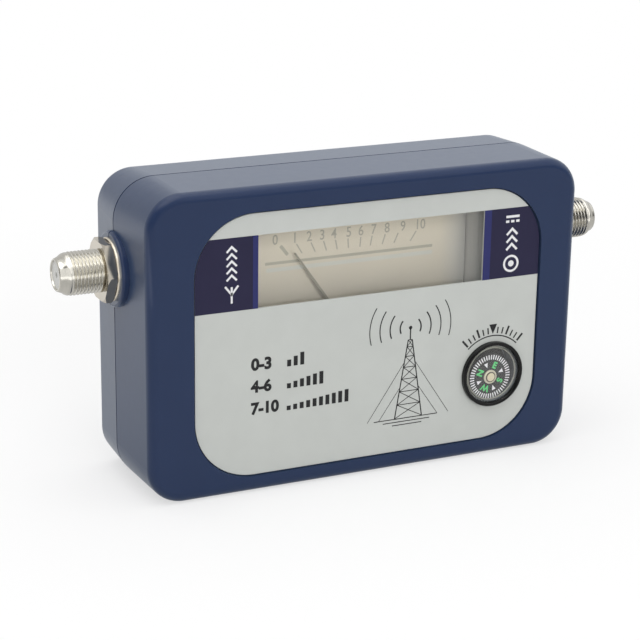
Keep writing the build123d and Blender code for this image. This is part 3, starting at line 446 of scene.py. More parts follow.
# Flat print, drawn as seen from the front in millimetres: a shape is its points and faces

# A line's corner reaches out at most by half the line's width divided by this
SHARPEST_CORNER = 0.5
GLYPH_STEPS = 4


def patch(points):
    """A filled outline."""
    return list(points), [tuple(range(len(points)))]


def box_patch(left, right, bottom, top):
    """A filled rectangle."""
    return patch([(left, bottom), (right, bottom), (right, top), (left, top)])


def arc(x, z, radius, start, end, steps):
    """Points along an arc, with angles in degrees from the right, turning to the top."""
    angles = [math.radians(start + (end - start) * i / steps) for i in range(steps + 1)]
    return [(x + radius * math.cos(angle), z + radius * math.sin(angle)) for angle in angles]


def stroke(points, width, closed=False):
    """A band of even width along a line."""
    path = [Vector(p) for p in points]
    count = len(path)
    sides = []
    for i, here in enumerate(path):
        ways = []
        if closed or i > 0:
            ways.append((here - path[i - 1]).normalized())
        if closed or i < count - 1:
            ways.append((path[(i + 1) % count] - here).normalized())
        onward = sum(ways, Vector((0, 0))).normalized()
        normal = Vector((-onward.y, onward.x))
        reach = width / 2 / max(SHARPEST_CORNER, abs(onward.dot(ways[0])))
        sides.append((here + normal * reach, here - normal * reach))
    spots = [tuple(p) for pair in sides for p in pair]
    faces = []
    for i in range(count if closed else count - 1):
        a, b = 2 * i, 2 * ((i + 1) % count)
        faces.append((a, a + 1, b + 1, b))
    return spots, faces


def ring(x, z, radius, width, steps=48):
    """A round line."""
    return stroke(arc(x, z, radius, 0, 360, steps)[:-1], width, closed=True)


def disc(x, z, radius, steps=32):
    """A filled circle."""
    return patch(arc(x, z, radius, 0, 360, steps)[:-1])


def turned(shape, x, z, angle):
    """A shape turned about a point by an angle in degrees."""
    cos, sin = math.cos(math.radians(angle)), math.sin(math.radians(angle))
    points, faces = shape
    moved = [
        (x + (px - x) * cos - (pz - z) * sin, z + (px - x) * sin + (pz - z) * cos)
        for px, pz in points
    ]
    return moved, faces


def written(text, x, z, height, weight=0.0, stretch=1.0):
    """Plain numbers or compass points, centred on a place, with a cap height."""
    curve = bpy.data.curves.new("glyphs", "FONT")
    curve.body = text
    curve.align_x = "CENTER"
    curve.offset = weight
    curve.resolution_u = GLYPH_STEPS
    holder = bpy.data.objects.new("glyphs", curve)
    bpy.context.scene.collection.objects.link(holder)
    bpy.context.view_layer.update()
    evaluated = holder.evaluated_get(bpy.context.evaluated_depsgraph_get())
    mesh = bpy.data.meshes.new_from_object(evaluated)
    low = min(v.co.y for v in mesh.vertices)
    tall = max(v.co.y for v in mesh.vertices) - low
    left = min(v.co.x for v in mesh.vertices)
    wide = max(v.co.x for v in mesh.vertices) - left
    scale = height / tall
    points = [
        (x + (v.co.x - left - wide / 2) * scale * stretch, z + (v.co.y - low - tall / 2) * scale)
        for v in mesh.vertices
    ]
    faces = [tuple(p.vertices) for p in mesh.polygons]
    bpy.data.objects.remove(holder)
    bpy.data.curves.remove(curve)
    bpy.data.meshes.remove(mesh)
    return points, faces


def add_piece(name, mesh, look, body):
    """Links a finished mesh to the scene as a piece that rides on a body."""
    piece = bpy.data.objects.new(name, mesh)
    bpy.context.scene.collection.objects.link(piece)
    mesh.materials.append(look)
    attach(piece, body)
    return piece


def printed(name, shapes, depth, look, body="root", film=FILM):
    """Thin raised ink on a face at a depth, made of closed solids."""
    sheet = bmesh.new()
    for points, faces in shapes:
        corners = [sheet.verts.new((x * MM, depth * MM, z * MM)) for x, z in points]
        for face in faces:
            sheet.faces.new([corners[i] for i in face])
    bmesh.ops.remove_doubles(sheet, verts=sheet.verts, dist=MERGE * MM)
    bmesh.ops.recalc_face_normals(sheet, faces=sheet.faces)
    raised = bmesh.ops.extrude_face_region(sheet, geom=list(sheet.faces))["geom"]
    lifted = [v for v in raised if isinstance(v, bmesh.types.BMVert)]
    bmesh.ops.translate(sheet, verts=lifted, vec=(0, -film * MM, 0))
    bmesh.ops.recalc_face_normals(sheet, faces=sheet.faces)
    mesh = bpy.data.meshes.new(name)
    sheet.to_mesh(mesh)
    sheet.free()
    return add_piece(name, mesh, look, body)


# The printed face

LEFT_STRIP, RIGHT_STRIP = 1.2, 1.8
PANEL_CORNER_STEPS = 12


def panel_outline(side):
    """The violet panel beside the window, cut by the label's round corner, side -1 or 1."""
    outer = LABEL_LEFT if side < 0 else LABEL_RIGHT
    inner = WINDOW_LEFT if side < 0 else WINDOW_RIGHT
    centre_x = outer - side * LABEL_CORNER
    centre_z = LABEL_TOP - LABEL_CORNER
    top_angle = math.degrees(math.asin((WINDOW_TOP - centre_z) / LABEL_CORNER))
    corner = arc(centre_x, centre_z, LABEL_CORNER, 0, top_angle, PANEL_CORNER_STEPS)
    if side < 0:
        corner = [(2 * centre_x - x, z) for x, z in corner]
    return [(inner, WINDOW_BOTTOM), (outer, WINDOW_BOTTOM)] + corner + [(inner, WINDOW_TOP)]


def face_panels():
    """Both panels, each with a bluer strip along the window, painted as light showing through the violet ink."""
    printed("face_panels", [patch(panel_outline(side)) for side in (-1, 1)], LABEL_FRONT, PANEL)
    strips = [
        box_patch(WINDOW_LEFT - LEFT_STRIP, WINDOW_LEFT, WINDOW_BOTTOM, WINDOW_TOP),
        box_patch(WINDOW_RIGHT, WINDOW_RIGHT + RIGHT_STRIP, WINDOW_BOTTOM, WINDOW_TOP),
    ]
    printed("panel_backlight_strips", strips, LABEL_FRONT - FILM, BACKLIGHT_BLUE)


def chevron(x, z, size, width):
    """An arrowhead that points up."""
    return stroke([(x - size / 2, z), (x, z + size / 2), (x + size / 2, z)], width)


def dash(x, z, half, width):
    """A level line of a half length about a place."""
    return stroke([(x - half, z), (x + half, z)], width)


LEFT_SIGN_X, RIGHT_SIGN_X = -32.65, 35.16
AERIAL_FOOT, AERIAL_TOP = 43.7, 47.3
AERIAL_FORK, AERIAL_TIPS, AERIAL_HALF = 45.6, 47.5, 1.5
AERIAL_LINE = 0.46
PLUG_Z, PLUG_RADIUS, PLUG_LINE, PLUG_PIN = 45.1, 1.75, 0.5, 0.72
# Each column of arrows: its middle, its lowest point, its step, its count, its size and its line
ARROWS = (
    (LEFT_SIGN_X, 48.7, 1.55, 5, 2.3, 0.46),
    (RIGHT_SIGN_X, 48.3, 1.75, 3, 2.7, 0.54),
)
CURRENT_LINE = 0.56
LONG_DASH_Z, LONG_DASH_HALF = 56.0, 1.7
SHORT_DASH_Z, SHORT_DASH_HALF, SHORT_DASH_STEP = 54.9, 0.42, 1.3


def panel_signs():
    """White signs up the panels: an aerial and arrows on the left, a direct current on the right."""
    tips = [(LEFT_SIGN_X + side * AERIAL_HALF, AERIAL_TIPS) for side in (-1, 1)]
    signs = [
        stroke([(LEFT_SIGN_X, AERIAL_FOOT), (LEFT_SIGN_X, AERIAL_TOP)], AERIAL_LINE),
        stroke([tips[0], (LEFT_SIGN_X, AERIAL_FORK), tips[1]], AERIAL_LINE),
        ring(RIGHT_SIGN_X, PLUG_Z, PLUG_RADIUS, PLUG_LINE),
        disc(RIGHT_SIGN_X, PLUG_Z, PLUG_PIN),
    ]
    for x, lowest, step, count, size, width in ARROWS:
        signs += [chevron(x, lowest + step * i, size, width) for i in range(count)]
    signs.append(dash(RIGHT_SIGN_X, LONG_DASH_Z, LONG_DASH_HALF, CURRENT_LINE))
    for place in (-1, 0, 1):
        x = RIGHT_SIGN_X + SHORT_DASH_STEP * place
        signs.append(dash(x, SHORT_DASH_Z, SHORT_DASH_HALF, CURRENT_LINE))
    printed("panel_signs", signs, LABEL_FRONT - FILM, WHITE_INK)


# Each row of the legend: its text, how many bars it has and its height on the face
LEGEND_ROWS = (("0-3", 3, 29.35), ("4-6", 6, 24.31), ("7-10", 10, 19.27))
LEGEND_LEFT = -28.53
LEGEND_HEIGHT = 2.9
LETTER_WIDTH = 1.85
LEGEND_WEIGHT = 0.045
BARS_LEFT, BAR_STEP, BAR_WIDTH = -19.68, 1.55, 0.95
SHORTEST_BAR = 0.28


def scale_legend():
    """Three rows beside the drawing: a range of the scale in numbers, and as rising bars."""
    ink = []
    for text, count, z in LEGEND_ROWS:
        middle = LEGEND_LEFT + LETTER_WIDTH * len(text) / 2
        ink.append(written(text, middle, z, LEGEND_HEIGHT, weight=LEGEND_WEIGHT))
        bottom = z - LEGEND_HEIGHT / 2
        for i in range(count):
            left = BARS_LEFT + BAR_STEP * i
            tall = LEGEND_HEIGHT * (SHORTEST_BAR + (1 - SHORTEST_BAR) * (i + 1) / count)
            ink.append(box_patch(left, left + BAR_WIDTH, bottom, bottom + tall))
    printed("scale_legend", ink, LABEL_FRONT, BLACK_INK)


MAST_X, MAST_FOOT, MAST_TOP = 10.22, 11.93, 30.21
MAST_FOOT_HALF, MAST_TOP_HALF = 3.4, 0.5
MAST_BAYS, BAY_NARROWING = 7, 1.25
LEG_LINE, BRACE_LINE, RUNG_LINE, SPIKE_LINE = 0.26, 0.16, 0.18, 0.3
SPIKE_LENGTH, KNOB_RISE, KNOB_RADIUS = 2.6, 2.8, 0.42
WAVE_COUNT, WAVE_STEPS = 4, 20
WAVE_RADIUS, WAVE_SPACING = 2.6, 2.5
WAVE_MIDDLES = (8, 172)
WAVE_SPREAD, WAVE_SPREAD_LOSS = 34, 3
WAVE_LINE, WAVE_LINE_LOSS = 0.34, 0.04
GROUND_COUNT, GROUND_DROP, GROUND_STEP, GROUND_LINE = 3, 0.1, 0.75, 0.2
GROUND_HALF, GROUND_HALF_LOSS, GROUND_RIGHT_SHARE = 8.6, 2.3, 0.86
# Each guy rope: its share of the mast's height and how far out it is tied to the ground
GUYS = ((0.72, 10.2), (0.4, 7.4))
GUY_LINE = 0.12


def mast_leg(share, side):
    """A point on a leg of the mast at a share of its height, side -1, 0 or 1."""
    half = MAST_FOOT_HALF + (MAST_TOP_HALF - MAST_FOOT_HALF) * share
    return MAST_X + side * half, MAST_FOOT + (MAST_TOP - MAST_FOOT) * share


def mast_drawing():
    """A line drawing of a lattice transmitting mast with waves leaving its top."""
    ink = []
    shares = [1 - (1 - i / MAST_BAYS) ** BAY_NARROWING for i in range(MAST_BAYS + 1)]
    for side in (-1, 1):
        ink.append(stroke([mast_leg(0, side), mast_leg(1, side)], LEG_LINE))
    for low, high in zip(shares, shares[1:]):
        ink.append(stroke([mast_leg(low, -1), mast_leg(high, 1)], BRACE_LINE))
        ink.append(stroke([mast_leg(low, 1), mast_leg(high, -1)], BRACE_LINE))
        ink.append(stroke([mast_leg(high, -1), mast_leg(high, 1)], RUNG_LINE))
    ink.append(stroke([mast_leg(1, 0), (MAST_X, MAST_TOP + SPIKE_LENGTH)], SPIKE_LINE))
    ink.append(disc(MAST_X, MAST_TOP + KNOB_RISE, KNOB_RADIUS))
    for i in range(WAVE_COUNT):
        radius = WAVE_RADIUS + WAVE_SPACING * i
        spread = WAVE_SPREAD - WAVE_SPREAD_LOSS * i
        for middle in WAVE_MIDDLES:
            start, end = middle - spread, middle + spread
            wave = arc(MAST_X, MAST_TOP + KNOB_RISE, radius, start, end, WAVE_STEPS)
            ink.append(stroke(wave, WAVE_LINE - WAVE_LINE_LOSS * i))
    ground = MAST_FOOT - GROUND_DROP
    for i in range(GROUND_COUNT):
        half = GROUND_HALF - GROUND_HALF_LOSS * i
        z = ground - GROUND_STEP * i
        ends = [(MAST_X - half, z), (MAST_X + half * GROUND_RIGHT_SHARE, z)]
        ink.append(stroke(ends, GROUND_LINE))
    for side in (-1, 1):
        for share, out in GUYS:
            ink.append(stroke([mast_leg(share, side), (MAST_X + side * out, ground)], GUY_LINE))
    printed("mast_drawing", ink, LABEL_FRONT, BLACK_INK)


TICKS_EACH_SIDE, ARC_TICK_TURN, TICKS_TO_LONG = 6, 7.0, 3
ARC_TICK_START = 9.5
# Where a tick over the compass ends and its half width
LONG_ARC_TICK, SHORT_ARC_TICK = (11.6, 0.24), (11.0, 0.17)
INDEX_MARK = ((-1.0, 11.7), (0.0, 9.4), (1.0, 11.7))
ARC_RADIUS, ARC_START, ARC_END, ARC_STEPS, ARC_LINE = 9.0, 46, 134, 40, 0.28


def compass_arc():
    """Ticks and an index mark over the compass."""
    ink = []
    for i in (*range(-TICKS_EACH_SIDE, 0), *range(1, TICKS_EACH_SIDE + 1)):
        end, half = SHORT_ARC_TICK if i % TICKS_TO_LONG else LONG_ARC_TICK
        bottom, top = COMPASS_Z + ARC_TICK_START, COMPASS_Z + end
        tick = box_patch(COMPASS_X - half, COMPASS_X + half, bottom, top)
        ink.append(turned(tick, COMPASS_X, COMPASS_Z, ARC_TICK_TURN * i))
    ink.append(patch([(COMPASS_X + x, COMPASS_Z + z) for x, z in INDEX_MARK]))
    line = arc(COMPASS_X, COMPASS_Z, ARC_RADIUS, ARC_START, ARC_END, ARC_STEPS)
    ink.append(stroke(line, ARC_LINE))
    printed("compass_arc", ink, LABEL_FRONT, BLACK_INK)


# The dial behind the window

TICK_ANGLES = (-38.0, -31.6, -24.9, -18.4, -11.7, -4.3, 3.5, 10.4, 18.0, 25.0, 33.5)
NUMBER_SHIFTS = (-0.1, 0.5, 0.25, 0.15, -0.1, 0.3, -0.05, 0.15, -0.05, 0.45, 0.2)
TICK_BOTTOM, TICK_TOP = 50.03, 52.23
ZERO_TICK_WIDTH, TICK_WIDTH = 0.75, 0.3
NUMBER_Z, NUMBER_HEIGHT = 53.73, 2.3
NUMBER_WEIGHT, NUMBER_STRETCH = 0.01, 0.85
SCALE_LEFT, SCALE_RIGHT, SCALE_Z, SCALE_WIDTH = -20.89, 20.1, 48.45, 0.65
BAND_INSET, BAND_Z, BAND_WIDTH = 0.3, 46.95, 0.9


def on_ray(angle, z):
    """Where a ray from the pivot, at an angle from upright, reaches a height."""
    return PIVOT_X + (z - PIVOT_Z) * math.tan(math.radians(angle)), z


def dial_number(number, x):
    """A number of the scale about a place across the dial."""
    return written(str(number), x, NUMBER_Z, NUMBER_HEIGHT, NUMBER_WEIGHT, NUMBER_STRETCH)


def dial_print():
    """The scale from 0 to 10 with its ticks, its line and its pale band."""
    ink = []
    for number, angle in enumerate(TICK_ANGLES):
        width = TICK_WIDTH if number else ZERO_TICK_WIDTH
        ink.append(stroke([on_ray(angle, TICK_BOTTOM), on_ray(angle, TICK_TOP)], width))
        ink.append(dial_number(number, on_ray(angle, NUMBER_Z)[0] + NUMBER_SHIFTS[number]))
    ink.append(stroke([(SCALE_LEFT, SCALE_Z), (SCALE_RIGHT, SCALE_Z)], SCALE_WIDTH))
    printed("dial_marks", ink, DIAL_FRONT, DIAL_INK)
    band = [stroke([(SCALE_LEFT + BAND_INSET, BAND_Z), (SCALE_RIGHT, BAND_Z)], BAND_WIDTH)]
    printed("dial_band", band, DIAL_FRONT, DIAL_PALE)


# The compass card, with its sizes measured from its middle

CARD_FILM = 0.01
CARD_TURN = 65.0
CARD_TICKS = 48
CARD_TICK_HALF, CARD_TICK_START, CARD_TICK_END = 0.13, 4.1, 5.2
CARD_POINTS = "NWSE"
POINT_RADIUS, POINT_HEIGHT, POINT_WEIGHT = 2.85, 1.6, 0.045
CARD_WEDGE = ((-0.5, 3.45), (0.0, 2.25), (0.5, 3.45))


def card_print():
    """White ticks round the card's edge, and the four points with marks between them."""
    white, green = [], []
    low, high = CARD_Z + CARD_TICK_START, CARD_Z + CARD_TICK_END
    tick = box_patch(CARD_X - CARD_TICK_HALF, CARD_X + CARD_TICK_HALF, low, high)
    for i in range(CARD_TICKS):
        white.append(turned(tick, CARD_X, CARD_Z, CARD_TURN + 360 * i / CARD_TICKS))
    quarter = 360 / len(CARD_POINTS)
    wedge = patch([(CARD_X + x, CARD_Z + z) for x, z in CARD_WEDGE])
    for i, letter in enumerate(CARD_POINTS):
        glyph = written(letter, CARD_X, CARD_Z + POINT_RADIUS, POINT_HEIGHT, POINT_WEIGHT)
        green.append(turned(glyph, CARD_X, CARD_Z, CARD_TURN + quarter * i))
        white.append(turned(wedge, CARD_X, CARD_Z, CARD_TURN + quarter * (i + 0.5)))
    for name, marks, look in (("card_ticks", white, WHITE_INK), ("card_letters", green, CARD_GREEN)):
        printed(name, marks, CARD_FRONT, look, body="card", film=CARD_FILM)


# Round pieces

LATHE_STEPS = 72
LATHE_SHARP, THREAD_SHARP = 40, 50


def round_row(place, radii, reach):
    """Points round an axis at a reach along it, one for each radius."""
    turn = WHOLE_TURN / len(radii)
    return [
        place(radius * math.cos(turn * k), radius * math.sin(turn * k), reach)
        for k, radius in enumerate(radii)
    ]


def closed_skin(name, rows, sharp, look, body):
    """A piece whose skin joins each row of points to the next, and the last to the first."""
    skin = bmesh.new()
    placed = [[skin.verts.new([c * MM for c in spot]) for spot in row] for row in rows]
    for i, row in enumerate(placed):
        following = placed[(i + 1) % len(placed)]
        for k in range(len(row)):
            beside = (k + 1) % len(row)
            skin.faces.new((row[k], row[beside], following[beside], following[k]))
    bmesh.ops.remove_doubles(skin, verts=skin.verts, dist=MERGE * MM)
    bmesh.ops.recalc_face_normals(skin, faces=skin.faces)
    for face in skin.faces:
        face.smooth = True
    mesh = bpy.data.meshes.new(name)
    skin.to_mesh(mesh)
    skin.free()
    mesh.set_sharp_from_angle(angle=math.radians(sharp))
    return add_piece(name, mesh, look, body)


def lathe(name, profile, place, look, body):
    """A closed skin turned from points of radius and place along its axis."""
    rows = [round_row(place, [radius] * LATHE_STEPS, reach) for radius, reach in profile]
    return closed_skin(name, rows, LATHE_SHARP, look, body)


def about_socket(side):
    """What makes a point from how far it is forward or back, up and out from a socket's middle."""
    sign = SIGNS[side]

    def place(across, up, reach):
        return sign * reach, SOCKET_Y + across, SOCKET_Z + up

    return place


WASHER_RIM, WASHER_RIM_STEPS, WASHER_HIGHLIGHT_FADE = 0.3, 6, 0.05
WASHER_HOLE = 4.8


def washer_look():
    """A washer painted black on its face as shade, with its rounded rim painted bright as a highlight."""
    made = surface("washer", rgb(30, 30, 32), 0.3, metallic=1.0, grain=0.2, height=0.001)
    start = WASHER_RADIUS - WASHER_RIM
    from_axis = off_axis(made, "Y", SOCKET_Y, "Z", SOCKET_Z)
    blend(made, from_axis, start, start + WASHER_HIGHLIGHT_FADE, rgb(236, 226, 208))
    return made


def bright_edged_washer(side, look):
    """The washer behind the nut, with its outer edge rounded over."""
    inner, outer = reaches(side + "_washer")
    profile = [(WASHER_HOLE, inner), (WASHER_HOLE, outer)]
    for i in range(WASHER_RIM_STEPS + 1):
        angle = WHOLE_TURN / 4 * i / WASHER_RIM_STEPS
        radius = WASHER_RADIUS - WASHER_RIM * (1 - math.sin(angle))
        profile.append((radius, outer - WASHER_RIM * (1 - math.cos(angle))))
    profile.append((WASHER_RADIUS, inner))
    name = side + "_rounded_washer"
    piece = lathe(name, profile, about_socket(side), look, "root")
    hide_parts(side + "_washer")


JEWEL_LEFT, JEWEL_RIGHT, _, _, JEWEL_TOP, JEWEL_FOOT = edges("compass_jewel")
JEWEL_RADIUS = (JEWEL_RIGHT - JEWEL_LEFT) / 2
JEWEL_BORE, BORE_ROOF, BORE_ROOF_MIDDLE = 1.33, 0.36, 0.3
# The cap's outside, from its middle outwards: radius and drop below its top
JEWEL_PROFILE = (
    (0.0, 0.0),
    (0.86, 0.0),
    (0.98, 0.04),
    (1.02, 0.12),
    (1.04, 0.24),
    (1.14, 0.24),
    (1.2, 0.16),
    (1.4, 0.16),
    (1.58, 0.24),
    (JEWEL_RADIUS, 0.42),
)
BOSS_EDGE = (0.94, 1.0)
SHOULDER_START = (1.2, 1.3)


def stepped_jewel():
    """The cap at the card's centre, with a raised boss inside its shoulder."""
    profile = [(radius, JEWEL_TOP + drop) for radius, drop in JEWEL_PROFILE]
    profile += [(JEWEL_RADIUS, JEWEL_FOOT), (JEWEL_BORE, JEWEL_FOOT)]
    profile += [(JEWEL_BORE, JEWEL_TOP + BORE_ROOF), (0.0, JEWEL_TOP + BORE_ROOF_MIDDLE)]

    def place(across, up, reach):
        return CARD_X + across, reach, CARD_Z + up

    # Painted shade: the cap is dark between its boss's edge and its shoulder, on the boss's side and in the groove
    from_axis = off_axis(JEWEL, "X", CARD_X, "Z", CARD_Z)
    blend(JEWEL, from_axis, *BOSS_EDGE, rgb(96, 88, 70))
    blend(JEWEL, from_axis, *SHOULDER_START, rgb(212, 206, 184))
    piece = lathe("stepped_jewel", profile, place, JEWEL, "card")
    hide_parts("compass_jewel")


# The ring's section: radius and how far behind the lens
LENS_HIGHLIGHT_SECTION = ((6.02, 0.0), (6.26, 0.0), (6.26, 0.2), (6.02, 0.2))


def snap_ring():
    """A thin pale ring behind the edge of the compass lens, a painted highlight of the lens's edge."""
    lens_back = edges("compass_lens")[5]
    profile = [(radius, lens_back + drop) for radius, drop in LENS_HIGHLIGHT_SECTION]

    def place(across, up, reach):
        return COMPASS_X + across, reach, COMPASS_Z + up

    lathe("compass_lens_highlight", profile, place, RING, "root")


# The threaded sockets

THREAD_PITCH = 25.4 / 32
THREAD_DEPTH = 0.44
THREAD_ROUND = 64
THREAD_STEPS = 10
# How much of the pitch a groove leaves free, and how round its flanks are
GROOVE_SLOPE, GROOVE_CURVE = 1.25, 0.8
CREST = 4.7
BORE_RADIUS, BORE_LEAD = 3.1, 0.1
SHANK_RADIUS, SHANK_LENGTH, FLANGE_THICKNESS = 4.0, 3.5, 1.5
# The tip's outside, from the thread outwards: how far from the end, and radius
TIP_PROFILE = (
    (2.3, 4.56),
    (1.95, 4.46),
    (1.6, 4.28),
    (1.2, 3.98),
    (0.7, 3.74),
    (0.3, 3.6),
    (0.1, 3.48),
    (0.02, 3.36),
    (0.0, 3.28),
    (0.0, 3.2),
)


def thread_radius(x, turn):
    """The thread's radius at a place along its axis and a share of a turn."""
    phase = (x / THREAD_PITCH - turn) % 1.0
    ridge = abs(2 * phase - 1)
    return CREST - THREAD_DEPTH * (1 - min(1.0, GROOVE_SLOPE * ridge)) ** GROOVE_CURVE


def threaded_barrel(side, name):
    """The barrel with its real thread, its smooth tip and its bore, in one closed skin."""
    _, _, bottom, top, _, _ = edges(name)
    flange_radius = (top - bottom) / 2
    inner_end, outer_end = reaches(name)
    nut_outer = reaches(side + "_hex_nut")[1]
    washer_inner = reaches(side + "_washer")[0]
    flange_start = inner_end + SHANK_LENGTH
    flange_end = flange_start + FLANGE_THICKNESS
    place = about_socket(side)

    def even(x, radius):
        return round_row(place, [radius] * THREAD_ROUND, x)

    rows = [
        even(inner_end, SHANK_RADIUS),
        even(flange_start, SHANK_RADIUS),
        even(flange_start, flange_radius),
        even(flange_end, flange_radius),
        even(flange_end, CREST - THREAD_DEPTH),
        even(washer_inner, CREST - THREAD_DEPTH),
    ]
    tip_length, tip_start = TIP_PROFILE[0]
    start = nut_outer - THREAD_PITCH
    end = outer_end - tip_length
    steps = round((end - start) / THREAD_PITCH * THREAD_STEPS)
    for i in range(steps + 1):
        x = start + (end - start) * i / steps
        run_out = min(1.0, (steps - i) / THREAD_STEPS)
        turns = [SIGNS[side] * k / THREAD_ROUND for k in range(THREAD_ROUND)]
        radii = [tip_start + (thread_radius(x, turn) - tip_start) * run_out for turn in turns]
        rows.append(round_row(place, radii, x))
    rows += [even(outer_end - back_off, radius) for back_off, radius in TIP_PROFILE[1:]]
    rows.append(even(outer_end - BORE_LEAD, BORE_RADIUS))
    rows.append(even(inner_end, BORE_RADIUS))
    barrel_name = side + "_threaded_barrel"
    piece = closed_skin(barrel_name, rows, THREAD_SHARP, NICKEL, "root")
    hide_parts(name)


# The stage: floor, world, lamps and camera, in metres and watts

FLOOR_HALF = 4.0
FLOOR_CELLS = 8
FLOOR_SHADE, FLOOR_SHOWN = rgb(205, 205, 205), rgb(250, 250, 250)
FLOOR_ROUGHNESS, FLOOR_SPECULAR = 0.9, 0.1
# Between these distances the shadowed floor turns into plain white
SHADOW_NEAR, SHADOW_FAR = 0.1, 0.24
# How much plain white the floor already has at the object
PAPER_GLOW = 0.6
# Behind this edge the gloss sees a glowing floor, white at the left and dimmer from the middle on
FLOOR_EDGE = 0.05
FLOOR_LEFT, FLOOR_MIDDLE, FLOOR_BACK = -0.12, -0.05, 0.65
# The world's plain light, and what the gloss sees: a room that is dim in front, lighter behind,
# and white high up and in a part on the right
FILL = 0.65
ROOM_LIGHT, BACK = 0.1, 0.7
ROOM_START, ROOM_END = -0.25, 0.1
CEILING_START, CEILING_END = 0.17, 0.3
CEILING_LEFT, CEILING_RIGHT = 0.1, 0.35
OVERHEAD_START, OVERHEAD_END = 0.68, 0.82


def floor_material():
    """A pale floor that keeps the shadow near the object and is plain white further out."""
    made = bpy.data.materials.new("pale_floor")
    made.use_nodes = True
    tree = made.node_tree
    shader = tree.nodes["Principled BSDF"]
    shown = ray_is(tree, "Camera", "Transmission")
    paint = mixed_colour(tree, shown, FLOOR_SHADE, FLOOR_SHOWN)
    tree.links.new(paint, shader.inputs["Base Color"])
    shader.inputs["Roughness"].default_value = FLOOR_ROUGHNESS
    shader.inputs["Specular IOR Level"].default_value = FLOOR_SPECULAR
    place = tree.nodes.new("ShaderNodeTexCoord")
    length = tree.nodes.new("ShaderNodeVectorMath")
    length.operation = "LENGTH"
    tree.links.new(place.outputs["Object"], length.inputs[0])
    away = ramp(tree, length.outputs["Value"], SHADOW_NEAR, SHADOW_FAR, PAPER_GLOW)
    seen = combined(tree, "MULTIPLY", shown, away)
    behind = ramp(tree, axis_of(tree, "Object", "Y"), -FLOOR_EDGE, FLOOR_EDGE)
    mirrored = combined(tree, "MULTIPLY", ray_is(tree, "Glossy"), behind)
    leftward = ramp(tree, axis_of(tree, "Object", "X"), FLOOR_LEFT, FLOOR_MIDDLE, 1.0, FLOOR_BACK)
    white = tree.nodes.new("ShaderNodeEmission")
    tree.links.new(combined(tree, "MAXIMUM", shown, leftward), white.inputs["Strength"])
    share = combined(tree, "MAXIMUM", seen, mirrored)
    both = mixed_shader(tree, share, shader.outputs["BSDF"], white.outputs["Emission"])
    tree.links.new(both, tree.nodes["Material Output"].inputs["Surface"])
    return made


def add_floor():
    """The floor just under the object."""
    sheet = bmesh.new()
    bmesh.ops.create_grid(sheet, x_segments=FLOOR_CELLS, y_segments=FLOOR_CELLS, size=FLOOR_HALF)
    mesh = bpy.data.meshes.new("floor")
    sheet.to_mesh(mesh)
    sheet.free()
    mesh.materials.append(floor_material())
    floor = bpy.data.objects.new("floor", mesh)
    floor.location = (0, 0, cad_low.z)
    bpy.context.scene.collection.objects.link(floor)


def add_world():
    """A white surround for the camera and the gloss, dim towards the front, and a soft fill."""
    world = bpy.data.worlds.new("studio")
    bpy.context.scene.world = world
    world.use_nodes = True
    tree = world.node_tree
    fill = tree.nodes["Background"]
    white = tree.nodes.new("ShaderNodeBackground")
    room = tree.nodes.new("ShaderNodeBackground")
    for light in (fill, white, room):
        light.inputs["Color"].default_value = (1, 1, 1, 1)
    fill.inputs["Strength"].default_value = FILL
    white.inputs["Strength"].default_value = 1.0
    behind = ramp(tree, axis_of(tree, "Generated", "Y"), ROOM_START, ROOM_END, ROOM_LIGHT, BACK)
    above = ramp(tree, axis_of(tree, "Generated", "Z"), CEILING_START, CEILING_END)
    rightward = ramp(tree, axis_of(tree, "Generated", "X"), CEILING_LEFT, CEILING_RIGHT)
    overhead = ramp(tree, axis_of(tree, "Generated", "Z"), OVERHEAD_START, OVERHEAD_END)
    right_ceiling = combined(tree, "MULTIPLY", above, rightward)
    ceiling = combined(tree, "MAXIMUM", right_ceiling, overhead)
    tree.links.new(combined(tree, "MAXIMUM", behind, ceiling), room.inputs["Strength"])
    glossy = ray_is(tree, "Glossy")
    lit = mixed_shader(tree, glossy, fill.outputs["Background"], room.outputs["Background"])
    shown = ray_is(tree, "Camera", "Transmission")
    whole = mixed_shader(tree, shown, lit, white.outputs["Background"])
    tree.links.new(whole, tree.nodes["World Output"].inputs["Surface"])


LAMP_AIM = (0, 0, 0.035)


def add_lamp(name, place, size, power, aim=LAMP_AIM):
    """A soft rectangular lamp that faces the object."""
    data = bpy.data.lights.new(name, "AREA")
    data.shape = "RECTANGLE"
    data.size, data.size_y = size
    data.energy = power
    lamp = bpy.data.objects.new(name, data)
    lamp.location = place
    lamp.rotation_euler = (Vector(aim) - Vector(place)).to_track_quat("-Z", "Y").to_euler()
    bpy.context.scene.collection.objects.link(lamp)
    lamp.visible_camera = False
    return lamp


KEY_PLACE, KEY_SIZE, KEY_POWER = (-0.25, -0.25, 1.2), (1.2, 1.2), 5.5
TOP_PLACE, TOP_SIZE, TOP_POWER = (0.2, 0.4, 1.3), (1.0, 1.0), 1.5
FRONT_PLACE, FRONT_SIZE, FRONT_POWER = (0.0, -1.35, 0.5), (0.7, 0.7), 5.5
# Two pale sheets close before the sockets, each with its name and its middle along X
SHEETS = (("left_card", -0.071), ("right_card", 0.082))
SHEET_SIZE, SHEET_POWER = (0.034, 0.028), 0.003
SHEET_FORWARD, SHEET_RISE = 0.0188, 0.0068


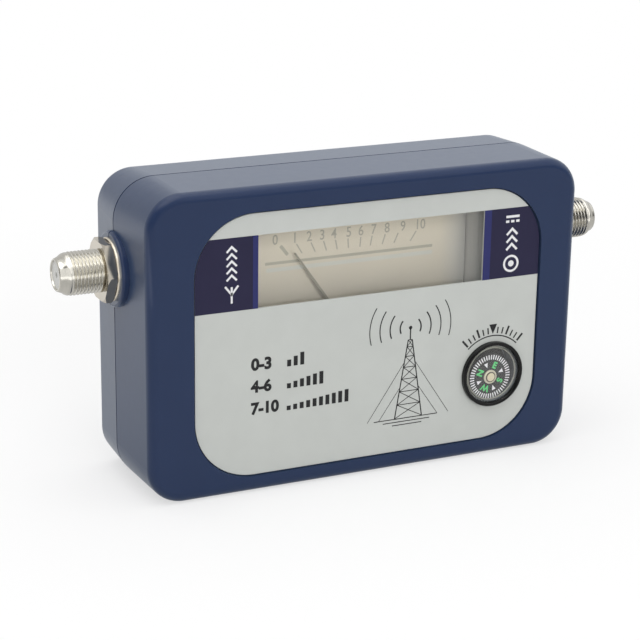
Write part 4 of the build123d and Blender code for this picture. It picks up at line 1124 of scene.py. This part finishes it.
def add_lamps():
    """A key lamp and a top lamp, the sheets that the sockets mirror, and a matt front lamp."""
    add_lamp("key", KEY_PLACE, KEY_SIZE, KEY_POWER)
    add_lamp("top", TOP_PLACE, TOP_SIZE, TOP_POWER)
    for name, x in SHEETS:
        aim = (x, SOCKET_Y * MM, SOCKET_Z * MM)
        place = (x, aim[1] - SHEET_FORWARD, aim[2] + SHEET_RISE)
        sheet = add_lamp(name, place, SHEET_SIZE, SHEET_POWER, aim)
        sheet.visible_diffuse = False
    front = add_lamp("front", FRONT_PLACE, FRONT_SIZE, FRONT_POWER)
    front.visible_glossy = False


# The camera that fits the photograph: its place in metres, its turn in radians and its lens
CAMERA_PLACE = (-0.184206, -0.378387, 0.166951)
CAMERA_YAW, CAMERA_PITCH, CAMERA_ROLL = -0.44121, -0.31208, -0.01545
FRAME_PIXELS = 640
FOCAL_PIXELS = 1958.28
CENTRE_PIXELS = (318.57, 321.99)


def add_camera():
    """The photograph's camera."""
    data = bpy.data.cameras.new("camera")
    data.sensor_fit = "HORIZONTAL"
    data.lens = data.sensor_width * FOCAL_PIXELS / FRAME_PIXELS
    data.shift_x = (FRAME_PIXELS / 2 - CENTRE_PIXELS[0]) / FRAME_PIXELS
    data.shift_y = (CENTRE_PIXELS[1] - FRAME_PIXELS / 2) / FRAME_PIXELS
    camera = bpy.data.objects.new("camera", data)
    turn = (
        Matrix.Rotation(CAMERA_YAW, 3, "Z")
        @ Matrix.Rotation(CAMERA_PITCH, 3, "X")
        @ Matrix.Rotation(CAMERA_ROLL, 3, "Y")
    )
    right, forward, up = turn.col
    pose = Matrix((right, up, -forward)).transposed().to_4x4()
    pose.translation = CAMERA_PLACE
    camera.matrix_world = pose
    bpy.context.scene.collection.objects.link(camera)
    bpy.context.scene.camera = camera


face_panels()
panel_signs()
scale_legend()
mast_drawing()
compass_arc()
dial_print()
card_print()
stepped_jewel()
snap_ring()
WASHER = washer_look()
for side in SIGNS:
    threaded_barrel(side, side + "_socket_barrel")
    bright_edged_washer(side, WASHER)
add_floor()
add_world()
add_lamps()
add_camera()
bpy.context.scene.view_settings.view_transform = "Standard"
